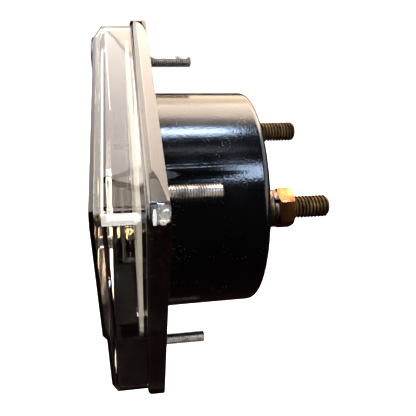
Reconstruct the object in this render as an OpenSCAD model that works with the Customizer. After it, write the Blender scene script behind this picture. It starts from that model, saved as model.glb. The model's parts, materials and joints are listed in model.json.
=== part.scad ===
// Square-faced moving-coil panel meter with a round rear case.
// Millimetres. X runs right as seen from the front, Y runs from the face to the terminals,
// Z is up. The panel plane is Y = 0 and the origin is the centre of the four mounting studs.

/* [Front frame] */
// Width of the clear front frame
frame_w = 72.7; // [68:0.1:76]
// Height of the clear front frame
frame_h = 62; // [60:0.1:68]
// Thickness of the frame in front of the panel
frame_t = 4; // [3.6:0.1:5]
// Corner radius of the frame outline
frame_corner_r = 3; // [2.6:0.1:4]
// Rounding along the frame's front edge
frame_edge_r = 1; // [0.4:0.1:1.2]

/* [Clear cover] */
// Step from the frame edge in to the raised body, on each side
body_step = 1.2; // [1:0.1:1.8]
// Distance from the panel to the start of the front bevel
body_reach = 11; // [10.6:0.1:13]
// Depth of the bevel round the window
bevel_d = 2.2; // [1.4:0.1:2.6]
// Corner radius of the raised body
body_corner_r = 2.5; // [2:0.1:4]
// How much further back the lower band lies than the window
band_set = 0.9; // [0.4:0.1:1.2]
// Height of the band's top edge, measured from the centre
band_top = -7.5; // [-9:0.1:-6.5]
// Wall of the clear moulding
cover_wall = 1.6; // [1.2:0.1:1.8]
// Height of the swollen patch at the upper left front corner
swell_h = 0.65; // [0.3:0.05:0.9]
// Length of the swollen patch along the top edge
swell_w = 10; // [6:0.5:14]

/* [Rear case] */
// Thickness of the base plate set into the frame
base_t = 3; // [2.6:0.1:3.4]
// Clear rim left round the base plate
base_margin = 2.3; // [2:0.1:3]
// Diameter of the round case where it passes the panel
barrel_d = 52; // [51:0.5:54]
// Length of the round case behind the panel
barrel_l = 22.8; // [20:0.1:28]
// Draft angle of the round case
barrel_draft = 0.5; // [0:0.1:1]
// Wall of the round case at its mouth
barrel_wall = 2.3; // [1.8:0.1:2.6]
// Thickness of the rear wall
rear_wall = 2.5; // [2:0.1:3]
// Rounding of the rear rim
rim_r = 1.8; // [0.8:0.1:2]
// Height of the raised seat round each terminal
seat_h = 0.7; // [0.4:0.1:1.5]
// Diameter of the raised seat round each terminal
seat_d = 10; // [9.4:0.1:12]

/* [Mounting studs] */
// Thread diameter of a mounting stud
stud_d = 3; // [2.5:0.1:4]
// Length of a stud behind the panel
stud_reach = 10.7; // [8:0.1:16]
// Distance between the studs across the width
stud_span_x = 49; // [47:0.5:54]
// Distance from the frame's upper and lower edges in to a stud's axis
stud_inset = 6.5; // [5.6:0.1:8]
// Head diameter of a mounting stud
stud_head_d = 5.5; // [5:0.1:6]
// Head thickness of a mounting stud
stud_head_t = 1.2; // [0.8:0.1:1.6]
// Diameter of the stud's collar inside the base plate
stud_collar_d = 3.8; // [3.6:0.1:4.6]

/* [Terminals] */
// Thread diameter of a terminal
terminal_d = 5; // [4:0.5:6]
// Distance from the outside of the round case in to a terminal's axis
terminal_inset = 8.7; // [8:0.1:9.5]
// Height of the terminals above the centre
terminal_up = 9.5; // [8:0.1:11]
// Length of a terminal behind the rear wall
terminal_reach = 15.4; // [13:0.1:22]
// Diameter of a terminal's plain neck inside the rear wall
terminal_neck_d = 4.5; // [3.6:0.1:5]
// Width across the flats of the terminal's inner head
head_af = 8; // [7:0.1:9]
// Thickness of the terminal's inner head
head_t = 1.5; // [1:0.1:2]
// Diameter of the terminal's plain washer
washer_d = 9; // [8:0.1:10]
// Thickness of the terminal's plain washer
washer_t = 1; // [0.6:0.1:1.4]
// Outer diameter of the split spring washer
spring_washer_d = 8.4; // [7.6:0.1:9]
// Thickness of the split spring washer
spring_washer_t = 1.2; // [0.8:0.1:1.6]
// Width across the flats of the terminal nut
nut_af = 8; // [7.5:0.1:9]
// Thickness of the terminal nut
nut_t = 3.7; // [3:0.1:5]
// Thickness of the solder tags
tag_t = 0.5; // [0.3:0.1:0.8]

/* [Dial and pointer] */
// Gap between the dial plate's ends and the cover's walls
dial_side_gap = 1.9; // [1.7:0.1:3]
// Gap between the dial plate's upper edge and the cover's wall
dial_top_gap = 1.6; // [1.2:0.1:3]
// Gap between the dial plate's lower edge and the cover's wall
dial_bottom_gap = 5.7; // [3:0.1:7]
// Thickness of the dial plate
dial_t = 0.8; // [0.5:0.1:1]
// Distance of the pointer's axis below the centre
pivot_drop = 9.5; // [9:0.1:10.5]
// Length of the pointer from its axis
pointer_l = 30; // [26:0.5:33]
// Thickness of the pointer
pointer_t = 0.3; // [0.2:0.05:0.5]
// Gap between the pointer and the dial
pointer_gap = 0.9; // [0.7:0.1:1.2]
// Full swing of the pointer
swing = 90; // [80:1:100]

/* [Movement] */
// Thickness of the movement plate
plate_t = 1.4; // [1:0.1:2]
// Distance of the movement plate behind the panel plane
plate_set = 0.6; // [0.2:0.1:1]
// Radial wall of the iron yoke ring
yoke_wall = 3.4; // [2.8:0.1:3.8]
// Air gap between the winding and the yoke ring
yoke_gap = 0.7; // [0.5:0.05:1]
// Air gap between the core magnet and the coil former
core_gap = 0.5; // [0.4:0.05:0.8]
// Height of the strip that carries the movement plate on the case's bosses
plate_h = 16; // [12:0.5:18]
// Axial width of the bar that carries the core
core_bar_t = 3; // [2:0.1:4]
// Height of the bar that carries the core
core_bar_h = 4; // [3:0.1:5]
// Wall of the coil former
former_t = 0.3; // [0.2:0.05:0.4]
// Width of the coil former
former_w = 5; // [4:0.1:5.2]
// Build-up of the winding on the former
winding_t = 0.9; // [0.5:0.1:1]
// Thickness of the two bridges
bridge_t = 0.7; // [0.5:0.1:1]
// Width of the two bridges
bridge_w = 4.4; // [4:0.1:5]
// Diameter of the two jewel screws
jewel_d = 2.4; // [2:0.1:2.8]
// Thickness of the jewel screws' lock nuts
jewel_nut_t = 0.6; // [0.4:0.1:0.8]
// Diameter of the coil's spindles
spindle_d = 0.8; // [0.6:0.1:1]
// Outer radius of the hairsprings
hairspring_r = 4.5; // [4:0.1:4.6]
// Width of the hairspring strip
hairspring_w = 0.5; // [0.3:0.1:0.6]
// Turns in each hairspring
hairspring_turns = 4; // [3:1:5]

/* [Zero adjuster] */
// Distance of the adjuster above the frame's lower edge
adjuster_rise = 11; // [10:0.1:13]
// Diameter of the slotted head
adjuster_head_d = 7; // [6:0.1:8]
// Thickness of the slotted head
adjuster_head_t = 0.6; // [0.4:0.1:0.9]
// Diameter of the adjuster's shank
adjuster_d = 4; // [3.6:0.1:5]
// Offset of the pin that works the zero arm
cam_offset = 1.2; // [0.8:0.05:1.4]

/* [Hidden] */
$fn = 64;

// Clearances
fit = 0.05;      // radial play of a shank in its own hole
seam = 0.15;     // gap between mouldings that nest in each other
air = 0.3;       // gap between pieces that move past each other
sliver = 0.02;   // thickness of the slices that a hull joins
hull_fn = 32;    // roundness inside a hull

// Clear cover
body_w = frame_w - 2 * body_step;
body_h = frame_h - 2 * body_step;
window_y = -(body_reach + bevel_d);
band_y = window_y + band_set;
hollow_w = body_w - 2 * cover_wall;
hollow_h = body_h - 2 * cover_wall;
hollow_r = max(0.6, body_corner_r - cover_wall);
hollow_bevel_y = -body_reach + 0.5 * cover_wall;

// Rear case
base_w = frame_w - 2 * base_margin;
base_h = frame_h - 2 * base_margin;
base_r = 2;
barrel_r = barrel_d / 2;
rear_r = barrel_r - barrel_l * tan(barrel_draft);
bore_r = rear_r - barrel_wall;
rear_in_y = barrel_l - rear_wall;
pivot_z = -pivot_drop;

// Lower mask, nested in the cover
mask_wall = 0.8;
mask_y = band_y + cover_wall + seam;
mask_back_y = mask_y + mask_wall;
mask_w = hollow_w - 2 * seam;
mask_h = hollow_h - 2 * seam;

// Front stack, worked back from the mask
arm_play = 0.1;  // end play of the zero arm on its bush
jewel_nut_front_y = mask_back_y + 2 * arm_play;
bush_front_y = jewel_nut_front_y + jewel_nut_t;
arm_t = 0.35;
arm_front_y = bush_front_y + arm_play;
arm_back_y = arm_front_y + arm_t;
bridge_front_y = arm_back_y + arm_play;
bridge_back_y = bridge_front_y + bridge_t;
spring_front_y = bridge_back_y + air;
spring_back_y = spring_front_y + hairspring_w;
pointer_front_y = spring_back_y + air;
pointer_back_y = pointer_front_y + pointer_t;
dial_front_y = pointer_back_y + pointer_gap;
dial_back_y = dial_front_y + dial_t;

// Movement
plate_back_y = plate_set + plate_t;
rear_room = 5.9;      // from the yoke ring to the rear wall
bore_gap = 1.2;       // from the yoke ring to the case's bore
core_set = 1.6;       // from the yoke ring's faces to the core's ends
former_lip = 0.3;     // width of the former beyond the winding on each side
yoke_back_y = rear_in_y - rear_room;
yoke_r = bore_r - pivot_drop - bore_gap;
yoke_in_r = yoke_r - yoke_wall;
winding_r = yoke_in_r - yoke_gap;
former_r = winding_r - winding_t;
former_in_r = former_r - former_t;
core_r = former_in_r - core_gap;
coil_mid_y = (plate_back_y + yoke_back_y) / 2;
core_l = yoke_back_y - plate_back_y - 2 * core_set;
former_in_l = core_l + 2 * core_gap;
former_l = former_in_l + 2 * former_t;
winding_l = former_l + 2 * winding_t;
winding_w = former_w - 2 * former_lip;
coil_front_y = coil_mid_y - winding_l / 2;
coil_back_y = coil_mid_y + winding_l / 2;
small_screw_d = 1.6;
small_head_d = 2.6;
small_head_t = 0.9;
movement_screw_d = 3;
movement_head_d = 5;
movement_head_t = 1.6;
movement_screw_l = 5.5;
boss_r = 2.6;
boss_gap = 0.2;
boss_x = sqrt(pow(bore_r - boss_r - boss_gap, 2) - pow(pivot_drop, 2));
leg_t = 1.4;
leg_set = 1.6;        // from the yoke ring's bore to the front bridge's legs
leg_in = yoke_in_r + leg_set;
leg_out = leg_in + leg_t;
foot_out = boss_x - movement_head_d / 2 - air;
foot_t = 1;
rear_foot_in = yoke_in_r + air;
rear_foot_out = yoke_r - 2 * fit;
rear_riser_t = 1;
rear_screw_x = (rear_foot_in + rear_riser_t + rear_foot_out) / 2;
rear_screw_d = 1;
rear_screw_l = 3;
rear_head_d = rear_foot_out - rear_foot_in - rear_riser_t - 2 * fit;
rear_head_t = 0.7;
rear_bridge_rise = 2.4;
rear_bridge_y = yoke_back_y + rear_bridge_rise;
rear_bridge_back_y = rear_bridge_y + bridge_t;
rear_spring_gap = 0.7;
rear_spring_y = rear_bridge_y - rear_spring_gap - hairspring_w;
core_bar_seat = 2;    // how far the core bar enters the yoke ring on each side
jewel_reach = 0.15;
cup_depth = 0.4;
pivot_r = 0.36;
pivot_gap = 0.1;      // from a pivot's tip to the bottom of its jewel's cup
hub_r = 0.9;
hub_front = 0.2;      // hub before the pointer
hub_back = 0.3;       // hub behind the pointer
hub_disc_d = 3.6;
collet_r = 0.7;
spindle_base_d = 3.2;
spindle_base_t = 0.3;
anchor_d = 1;
anchor_x = hairspring_r + 0.4 * anchor_d;
anchor_end_y = rear_in_y - 1.8;

// Zero arm and adjuster
adjuster_z = adjuster_rise - frame_h / 2;
pin_d = 0.9;
pin_reach = pivot_z - adjuster_z + cam_offset;
arm_w = 2;
bush_r = 1.85;
tab_r = hairspring_r + 0.25;
shank_end_y = mask_back_y + seam;

// Dial
dial_w = hollow_w - 2 * dial_side_gap;
dial_top = hollow_h / 2 - dial_top_gap;
dial_bottom = hollow_h / 2 - dial_bottom_gap;
dial_screw_d = 2;
dial_head_d = 3.8;
dial_head_t = 0.9;
dial_screw_inset = 8.8;
dial_screw_rise = 8.5;
dial_screw_x = dial_w / 2 - dial_screw_inset;
dial_screw_z = dial_screw_rise - dial_bottom;
dial_rest_inset = 2.8;
dial_rest_x = dial_w / 2 - dial_rest_inset;
dial_rest_z = 12;
stop_d = 1;
stop_r = 20;
stop_h = 1.6;

// Mounting studs, set in from the frame's edge
stud_span_z = frame_h - 2 * stud_inset;

// Terminals, set in from the round case
terminal_span = 2 * sqrt(pow(barrel_r - terminal_inset, 2) - pow(terminal_up, 2));
terminal_tip_y = barrel_l + terminal_reach;
seat_y = barrel_l + seat_h;
spring_washer_y = seat_y + washer_t;
nut_y = spring_washer_y + spring_washer_t;
tag_y = rear_in_y - tag_t;
tag_l = 7;
tag_turn = 45;
lead_d = 0.9;

// Balance arms and weights
balance_arm_w = 0.8;
weight_reach = 5.6;
weight_d = 1.5;
side_weight_l = 1.6;
tail_weight_l = 2.4;

// Pointer width at a distance from its axis
function pointer_width(r) = 1.1 - 0.7 * r / pointer_l;

// Angle between a limit of the swing and the stop that lies beyond it
function stop_beyond() = asin((pointer_width(stop_r) / 2 + stop_d / 2 + air) / stop_r);

// A point at radius r and angle a from the upright, clockwise as seen from the front
function around(r, a) = [r * sin(a), r * cos(a)];

// Flat outlines lie in X and Z and are extruded from y0 to y1
module slab(y0, y1) {
    translate([0, y1, 0])
        rotate([90, 0, 0])
            linear_extrude(y1 - y0)
                children();
}

module rod(d, y0, y1) {
    slab(y0, y1)
        circle(d = d);
}

// Profiles drawn as radius and Y are turned about the Y axis
module turned() {
    rotate([-90, 0, 0])
        rotate_extrude()
            children();
}

module at(x, z) {
    translate([x, 0, z])
        children();
}

module pair(x, z) {
    for (side = [-1, 1])
        at(side * x, z)
            children();
}

module rounded_rect(w, h, r) {
    square([w - 2 * r, h], center = true);
    square([w, h - 2 * r], center = true);
    for (x = [-1, 1], z = [-1, 1])
        translate([x * (w / 2 - r), z * (h / 2 - r)])
            circle(r);
}

// The part of a rounded outline above or below the band's top edge
module above_band(w, h, r, edge) {
    intersection() {
        rounded_rect(w, h, r);
        translate([-w / 2, edge])
            square([w, h]);
    }
}

module below_band(w, h, r, edge) {
    intersection() {
        rounded_rect(w, h, r);
        translate([-w / 2, edge - h])
            square([w, h]);
    }
}

module slotted_head(d, t, y0, slot_w, slot_d) {
    difference() {
        rod(d, y0, y0 + t);
        translate([-d, y0 - t, -slot_w / 2])
            cube([2 * d, t + slot_d, slot_w]);
    }
}

module hexagon(af) {
    circle(d = af / cos(30), $fn = 6);
}

// Pieces of the clear cover

module frame_block() {
    hull($fn = hull_fn) {
        for (a = [0:22.5:90]) {
            inset = frame_edge_r * (1 - cos(a));
            y = -frame_t + frame_edge_r * (1 - sin(a));
            slab(y, y + sliver)
                rounded_rect(frame_w - 2 * inset, frame_h - 2 * inset, frame_corner_r - inset);
        }
        slab(-0.4, -0.4 + sliver)
            rounded_rect(frame_w, frame_h, frame_corner_r);
        slab(-sliver, 0)
            rounded_rect(frame_w - 0.8, frame_h - 0.8, frame_corner_r - 0.4);
    }
}

module body_block() {
    bevel = band_y + body_reach;
    hull($fn = hull_fn) {
        slab(-body_reach, -frame_t / 2)
            rounded_rect(body_w, body_h, body_corner_r);
        slab(band_y, band_y + sliver)
            rounded_rect(body_w + 2 * bevel, body_h + 2 * bevel, body_corner_r + bevel);
    }
}

module window_block() {
    hull($fn = hull_fn) {
        slab(-body_reach, -body_reach + sliver)
            above_band(body_w, body_h, body_corner_r, band_top);
        slab(window_y, window_y + sliver)
            above_band(body_w - 2 * bevel_d, body_h - 2 * bevel_d, body_corner_r - bevel_d / 2,
                band_top + band_set / 3);
    }
}

module swelling() {
    corner_x = -body_w / 2 + bevel_d;
    corner_z = body_h / 2 - bevel_d;
    r = 2;
    hull($fn = hull_fn)
        for (a = [0:30:90]) {
            inset = 1.6 * swell_h * (1 - cos(a));
            w = swell_w - 2 * inset;
            y = window_y - swell_h * sin(a);
            at(corner_x + swell_w / 2, corner_z - swell_w / 2)
                slab(y, y + 0.1)
                    rounded_rect(w, w, r);
        }
}

module body_hollow() {
    bevel = band_y + cover_wall - hollow_bevel_y;
    hull($fn = hull_fn) {
        slab(hollow_bevel_y, -base_t + sliver)
            rounded_rect(hollow_w, hollow_h, hollow_r);
        slab(band_y + cover_wall, band_y + cover_wall + sliver)
            rounded_rect(hollow_w + 2 * bevel, hollow_h + 2 * bevel, hollow_r);
    }
}

module window_hollow() {
    inset = hollow_bevel_y - window_y - cover_wall;
    hull($fn = hull_fn) {
        slab(hollow_bevel_y, hollow_bevel_y + sliver)
            above_band(hollow_w, hollow_h, hollow_r, band_top + 0.6 * cover_wall);
        slab(window_y + cover_wall, window_y + cover_wall + sliver)
            above_band(hollow_w - 2 * inset, hollow_h - 2 * inset, hollow_r,
                band_top + cover_wall);
    }
}

// Snap ridges on the base plate's long edges, and their grooves in the cover
module snap_bars(play) {
    ridge_l = 10;
    ridge_t = 0.8;
    ridge_h = 0.5;
    for (x = [-1, 1], z = [-1, 1])
        translate([x * base_w / 4, -base_t / 2, z * base_h / 2])
            cube([ridge_l + 2 * play, ridge_t + 2 * play, 2 * ridge_h + 2 * play], center = true);
}

module front_cover() {
    color("gainsboro", 0.35)
        difference() {
            union() {
                frame_block();
                body_block();
                window_block();
                swelling();
            }
            body_hollow();
            window_hollow();
            slab(-base_t, 1)
                rounded_rect(base_w + 2 * seam, base_h + 2 * seam, base_r + seam);
            snap_bars(seam);
            at(0, adjuster_z)
                rod(adjuster_d + 2 * fit, band_y - 1, band_y + cover_wall + 1);
        }
}

// Black tray behind the lower band, with a ledge on each side of the pointer's hub
module lower_mask() {
    mask_bevel_y = hollow_bevel_y + seam;
    bevel = mask_y - mask_bevel_y;
    ledge_in = leg_out + 2 * air;
    side_gap = 2.2;
    ledge_out = mask_w / 2 - mask_wall - side_gap;
    color("#0c0c0d") {
        difference() {
            hull($fn = hull_fn) {
                slab(mask_bevel_y, -base_t)
                    below_band(mask_w, mask_h, hollow_r, band_top);
                slab(mask_y, mask_y + sliver)
                    below_band(mask_w + 2 * bevel, mask_h + 2 * bevel, hollow_r, band_top);
            }
            hull($fn = hull_fn) {
                slab(mask_bevel_y + mask_wall / 2, 0)
                    below_band(mask_w - 2 * mask_wall, mask_h - 2 * mask_wall,
                        hollow_r - mask_wall / 2, band_top + 1);
                slab(mask_back_y, mask_back_y + sliver)
                    below_band(mask_w - 2 * mask_wall + 2 * bevel,
                        mask_h - 2 * mask_wall + 2 * bevel, hollow_r - mask_wall / 2, band_top + 1);
            }
            at(0, adjuster_z)
                rod(adjuster_d + 1.3, mask_y - 1, mask_back_y + 1);
        }
        for (side = [-1, 1])
            translate([side > 0 ? ledge_in : -ledge_out, mask_back_y - mask_wall / 2,
                band_top - mask_wall])
                cube([ledge_out - ledge_in, dial_front_y - mask_back_y + mask_wall / 2 - 0.5,
                    mask_wall]);
    }
}

module zero_adjuster() {
    head_y = band_y - fit - adjuster_head_t;
    ridge_y = band_y + cover_wall + 0.1;
    color("#18181a")
        at(0, adjuster_z) {
            slotted_head(adjuster_head_d, adjuster_head_t, head_y, 0.9, 0.4);
            rod(adjuster_d, head_y + adjuster_head_t, shank_end_y);
            rod(adjuster_d + 0.7, ridge_y, ridge_y + 0.45);
            at(0, -cam_offset)
                rod(pin_d, shank_end_y, bridge_front_y);
        }
}

// Black case: base plate, drafted barrel, inner bosses and terminal seats in one moulding

module barrel_shell() {
    turned() {
        difference() {
            union() {
                polygon([[0, -base_t], [barrel_r, -base_t], [barrel_r, 0],
                    [rear_r + rim_r * tan(barrel_draft), barrel_l - rim_r],
                    [rear_r - rim_r, barrel_l], [0, barrel_l]]);
                translate([rear_r - rim_r, barrel_l - rim_r])
                    circle(rim_r);
            }
            translate([-1, -2 * base_t])
                square([bore_r + 1, 2 * base_t + rear_in_y]);
        }
    }
}

module case() {
    nib_r = 0.7;
    nib_turn = 136;
    color("#111113")
        difference() {
            union() {
                slab(-base_t, 0)
                    difference() {
                        rounded_rect(base_w, base_h, base_r);
                        circle(bore_r);
                    }
                barrel_shell();
                snap_bars(0);
                pair(boss_x, pivot_z)
                    rod(2 * boss_r, plate_back_y, rear_in_y + 1);
                pair(terminal_span / 2, terminal_up)
                    rod(seat_d, rear_in_y, seat_y);
                pair(dial_screw_x, dial_screw_z)
                    rod(dial_head_d + 0.6, dial_back_y, -base_t / 2);
                pair(dial_rest_x, dial_rest_z)
                    rod(dial_head_d, dial_back_y, -base_t / 2);
                at(around(barrel_r, nib_turn)[0], around(barrel_r, nib_turn)[1])
                    rod(2 * nib_r, 0, 2);
            }
            for (z = [-1, 1])
                pair(stud_span_x / 2, z * stud_span_z / 2) {
                    rod(stud_collar_d + 2 * fit, -base_t - 1, 1);
                    rod(stud_head_d + 2 * fit, -base_t - 1, -base_t + stud_head_t);
                }
            pair(terminal_span / 2, terminal_up)
                rod(terminal_d + 2 * fit, rear_in_y - 1, seat_y + 1);
            pair(boss_x, pivot_z)
                rod(movement_screw_d + 2 * fit, plate_back_y - 1,
                    plate_back_y + movement_screw_l + boss_gap);
            pair(dial_screw_x, dial_screw_z)
                rod(dial_screw_d + 2 * fit, dial_back_y - 1, -base_t / 3);
        }
}

module mounting_studs() {
    tip = 0.4;
    color("silver")
        for (z = [-1, 1])
            pair(stud_span_x / 2, z * stud_span_z / 2) {
                rod(stud_head_d, -base_t, -base_t + stud_head_t);
                rod(stud_collar_d, -base_t + stud_head_t, 0);
                rod(stud_d, 0, stud_reach - tip);
                turned()
                    polygon([[0, stud_reach - tip], [stud_d / 2, stud_reach - tip],
                        [stud_d / 2 - tip, stud_reach], [0, stud_reach]]);
            }
}

module terminal() {
    tip = 0.8;
    color("#8a7440") {
        slab(tag_y - head_t, tag_y)
            hexagon(head_af);
        rod(terminal_neck_d, tag_y, seat_y);
        rod(terminal_d, seat_y, terminal_tip_y - tip);
        turned()
            polygon([[0, terminal_tip_y - tip], [terminal_d / 2, terminal_tip_y - tip],
                [terminal_d / 2 - tip / 2, terminal_tip_y - tip / 4],
                [terminal_d / 2 - tip, terminal_tip_y], [0, terminal_tip_y]]);
    }
}

module terminal_left() {
    at(-terminal_span / 2, terminal_up)
        terminal();
}

module terminal_right() {
    at(terminal_span / 2, terminal_up)
        terminal();
}

module terminal_washer() {
    color("#9a8450")
        at(terminal_span / 2, terminal_up)
            slab(seat_y, spring_washer_y)
                difference() {
                    circle(d = washer_d);
                    circle(d = terminal_d + 6 * fit);
                }
}

module spring_washer() {
    split = 0.8;
    color("#6e6a58")
        at(terminal_span / 2, terminal_up)
            slab(spring_washer_y, nut_y)
                difference() {
                    circle(d = spring_washer_d);
                    circle(d = terminal_d + 4 * fit);
                    rotate(-30)
                        translate([0, -split / 2])
                            square([spring_washer_d, split]);
                }
}

// Nut with both ends chamfered by a turned outline
module terminal_nut() {
    corner_r = nut_af / 2 / cos(30);
    chamfer = corner_r - nut_af / 2;
    color("#c09038")
        at(terminal_span / 2, terminal_up)
            difference() {
                intersection() {
                    slab(nut_y, nut_y + nut_t)
                        hexagon(nut_af);
                    turned()
                        polygon([[0, nut_y], [corner_r - 1.2 * chamfer, nut_y],
                            [corner_r, nut_y + 0.7 * chamfer],
                            [corner_r, nut_y + nut_t - 0.7 * chamfer],
                            [corner_r - 1.2 * chamfer, nut_y + nut_t], [0, nut_y + nut_t]]);
                }
                rod(terminal_d + 2 * fit, nut_y - 1, nut_y + nut_t + 1);
            }
}

module solder_tags() {
    rim = 1.3;
    ring_d = terminal_d + 2 * rim;
    color("#b89a58")
        for (side = [-1, 1])
            at(side * terminal_span / 2, terminal_up)
                slab(tag_y, rear_in_y)
                    difference() {
                        union() {
                            circle(d = ring_d);
                            rotate(side * (90 + tag_turn))
                                translate([-1, 0])
                                    square([2, tag_l]);
                        }
                        circle(d = terminal_d + 4 * fit);
                    }
}

// A wire of round section through a list of points
module wire(points) {
    for (i = [1:len(points) - 1]) {
        run = points[i] - points[i - 1];
        translate(points[i - 1])
            rotate([0, acos(run[2] / norm(run)), atan2(run[1], run[0])])
                cylinder(d = lead_d, h = norm(run), $fn = 24);
    }
    for (i = [1:len(points) - 2])
        translate(points[i])
            sphere(d = 1.08 * lead_d, $fn = 24);
}

// Solder end of a tag on the given side
function tag_end(side) = [
    side * (terminal_span / 2 - (tag_l - 1) * sin(tag_turn)),
    tag_y - lead_d / 2,
    terminal_up - (tag_l - 1) * cos(tag_turn)];

module lead_left() {
    bend = 3;
    drop_x = -(yoke_r + bend);
    drop_z = pivot_z + plate_h / 2 - 1.7 * lead_d;
    color("firebrick")
        wire([tag_end(-1), tag_end(-1) + [0, -bend / 2, 0], [drop_x, yoke_back_y, drop_z + bend],
            [drop_x, plate_back_y + bend, drop_z], [drop_x, plate_back_y, drop_z]]);
}

module lead_right() {
    dip = 0.6;
    drop = 2;
    rise = 4;
    run_y = anchor_end_y + 0.8;
    color("royalblue")
        wire([tag_end(1), tag_end(1) + [0, -dip, -drop], [anchor_x, run_y, pivot_z + rise],
            [anchor_x, run_y, pivot_z], [anchor_x, anchor_end_y, pivot_z]]);
}

module dial_plate() {
    notch_w = 2 * (leg_out + 0.8);
    notch_top = pivot_z + bridge_w / 2 + 0.4;
    color("ivory")
        slab(dial_front_y, dial_back_y)
            difference() {
                translate([0, (dial_top - dial_bottom) / 2])
                    rounded_rect(dial_w, dial_top + dial_bottom, 2);
                translate([-notch_w / 2, -dial_bottom - 1])
                    square([notch_w, dial_bottom + 1 + notch_top]);
                for (side = [-1, 1]) {
                    translate([side * dial_screw_x, dial_screw_z])
                        circle(d = dial_screw_d + 4 * fit);
                    translate([0, pivot_z])
                        translate(around(stop_r, side * (swing / 2 + stop_beyond())))
                            circle(d = stop_d - 0.2 + 2 * fit);
                }
            }
}

module dial_screws() {
    color("silver")
        pair(dial_screw_x, dial_screw_z) {
            slotted_head(dial_head_d, dial_head_t, dial_front_y - dial_head_t, 0.5, 0.4);
            rod(dial_screw_d, dial_front_y, -base_t / 3 - 0.2);
        }
}

module pointer_stops() {
    color("#202020")
        for (side = [-1, 1]) {
            place = around(stop_r, side * (swing / 2 + stop_beyond()));
            at(place[0], pivot_z + place[1]) {
                rod(stop_d, dial_front_y - stop_h, dial_front_y);
                rod(stop_d - 0.2, dial_front_y, dial_back_y);
            }
        }
}

module movement_plate() {
    color("#a8a49a")
        slab(plate_set, plate_back_y)
            difference() {
                union() {
                    intersection() {
                        circle(bore_r - air);
                        translate([0, pivot_z])
                            square([2 * bore_r, plate_h], center = true);
                    }
                    translate([0, pivot_z])
                        circle(yoke_r + 0.6);
                }
                translate([0, pivot_z]) {
                    circle(yoke_in_r + 0.2);
                    for (side = [-1, 1]) {
                        translate([side * boss_x, 0])
                            circle(d = movement_screw_d + 4 * fit);
                        translate([side * (leg_out + foot_out) / 2, 0])
                            circle(d = small_screw_d + 2 * fit);
                        translate([0, side * (yoke_r + yoke_in_r) / 2])
                            circle(d = small_screw_d + 2 * fit);
                    }
                }
            }
}

module movement_screws() {
    color("silver")
        pair(boss_x, pivot_z) {
            slotted_head(movement_head_d, movement_head_t, plate_set - movement_head_t, 0.8, 0.7);
            rod(movement_screw_d, plate_set, plate_back_y + movement_screw_l);
        }
}

module yoke_ring() {
    color("#6f7276")
        at(0, pivot_z)
            difference() {
                rod(2 * yoke_r, plate_back_y, yoke_back_y);
                rod(2 * yoke_in_r, plate_back_y - 1, yoke_back_y + 1);
                translate([0, coil_mid_y, 0])
                    cube([2 * (yoke_in_r + core_bar_seat + 2 * fit), core_bar_t + 2 * fit,
                        core_bar_h + 2 * fit], center = true);
                for (side = [-1, 1]) {
                    at(0, side * (yoke_r + yoke_in_r) / 2)
                        rod(small_screw_d + 2 * fit, plate_back_y - 1, yoke_back_y + 1);
                    at(side * rear_screw_x, 0)
                        rod(rear_screw_d + 2 * fit, yoke_back_y - rear_screw_l - air,
                            yoke_back_y + 1);
                }
            }
}

module yoke_screws() {
    color("silver")
        for (side = [-1, 1])
            at(0, pivot_z + side * (yoke_r + yoke_in_r) / 2) {
                rod(small_screw_d, plate_set, yoke_back_y);
                rod(small_head_d, yoke_back_y, yoke_back_y + small_head_t);
            }
}

module core_magnet() {
    color("#5a5c60")
        at(0, pivot_z)
            difference() {
                rod(2 * core_r, coil_mid_y - core_l / 2, coil_mid_y + core_l / 2);
                translate([0, coil_mid_y, 0])
                    cube([3 * core_r, core_bar_t + 2 * fit, core_bar_h + 2 * fit], center = true);
            }
}

module core_bar() {
    color("#b8964e")
        translate([0, coil_mid_y, pivot_z])
            cube([2 * (yoke_in_r + core_bar_seat), core_bar_t, core_bar_h], center = true);
}

// Strip bridge on two legs, with a bush that the zero arm turns on
module front_bridge() {
    foot_y = plate_set - foot_t;
    color("#2c2c30")
        at(0, pivot_z)
            difference() {
                union() {
                    translate([-leg_out, bridge_front_y, -bridge_w / 2])
                        cube([2 * leg_out, bridge_t, bridge_w]);
                    rod(2 * bush_r, bush_front_y, bridge_front_y);
                    for (side = [-1, 1]) {
                        translate([side > 0 ? leg_in : -leg_out, bridge_front_y, -bridge_w / 2])
                            cube([leg_t, plate_set - bridge_front_y, bridge_w]);
                        translate([side > 0 ? leg_in : -foot_out, foot_y, -bridge_w / 2])
                            cube([foot_out - leg_in, foot_t, bridge_w]);
                    }
                }
                rod(jewel_d + 2 * fit, bush_front_y - 1, bridge_back_y + 1);
                pair((leg_out + foot_out) / 2, 0)
                    rod(small_screw_d + 4 * fit, foot_y - 1, plate_set + 1);
            }
}

module front_bridge_screws() {
    foot_y = plate_set - foot_t;
    color("silver")
        pair((leg_out + foot_out) / 2, pivot_z) {
            slotted_head(small_head_d, small_head_t, foot_y - small_head_t, 0.4, 0.4);
            rod(small_screw_d, foot_y, plate_back_y);
        }
}

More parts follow.
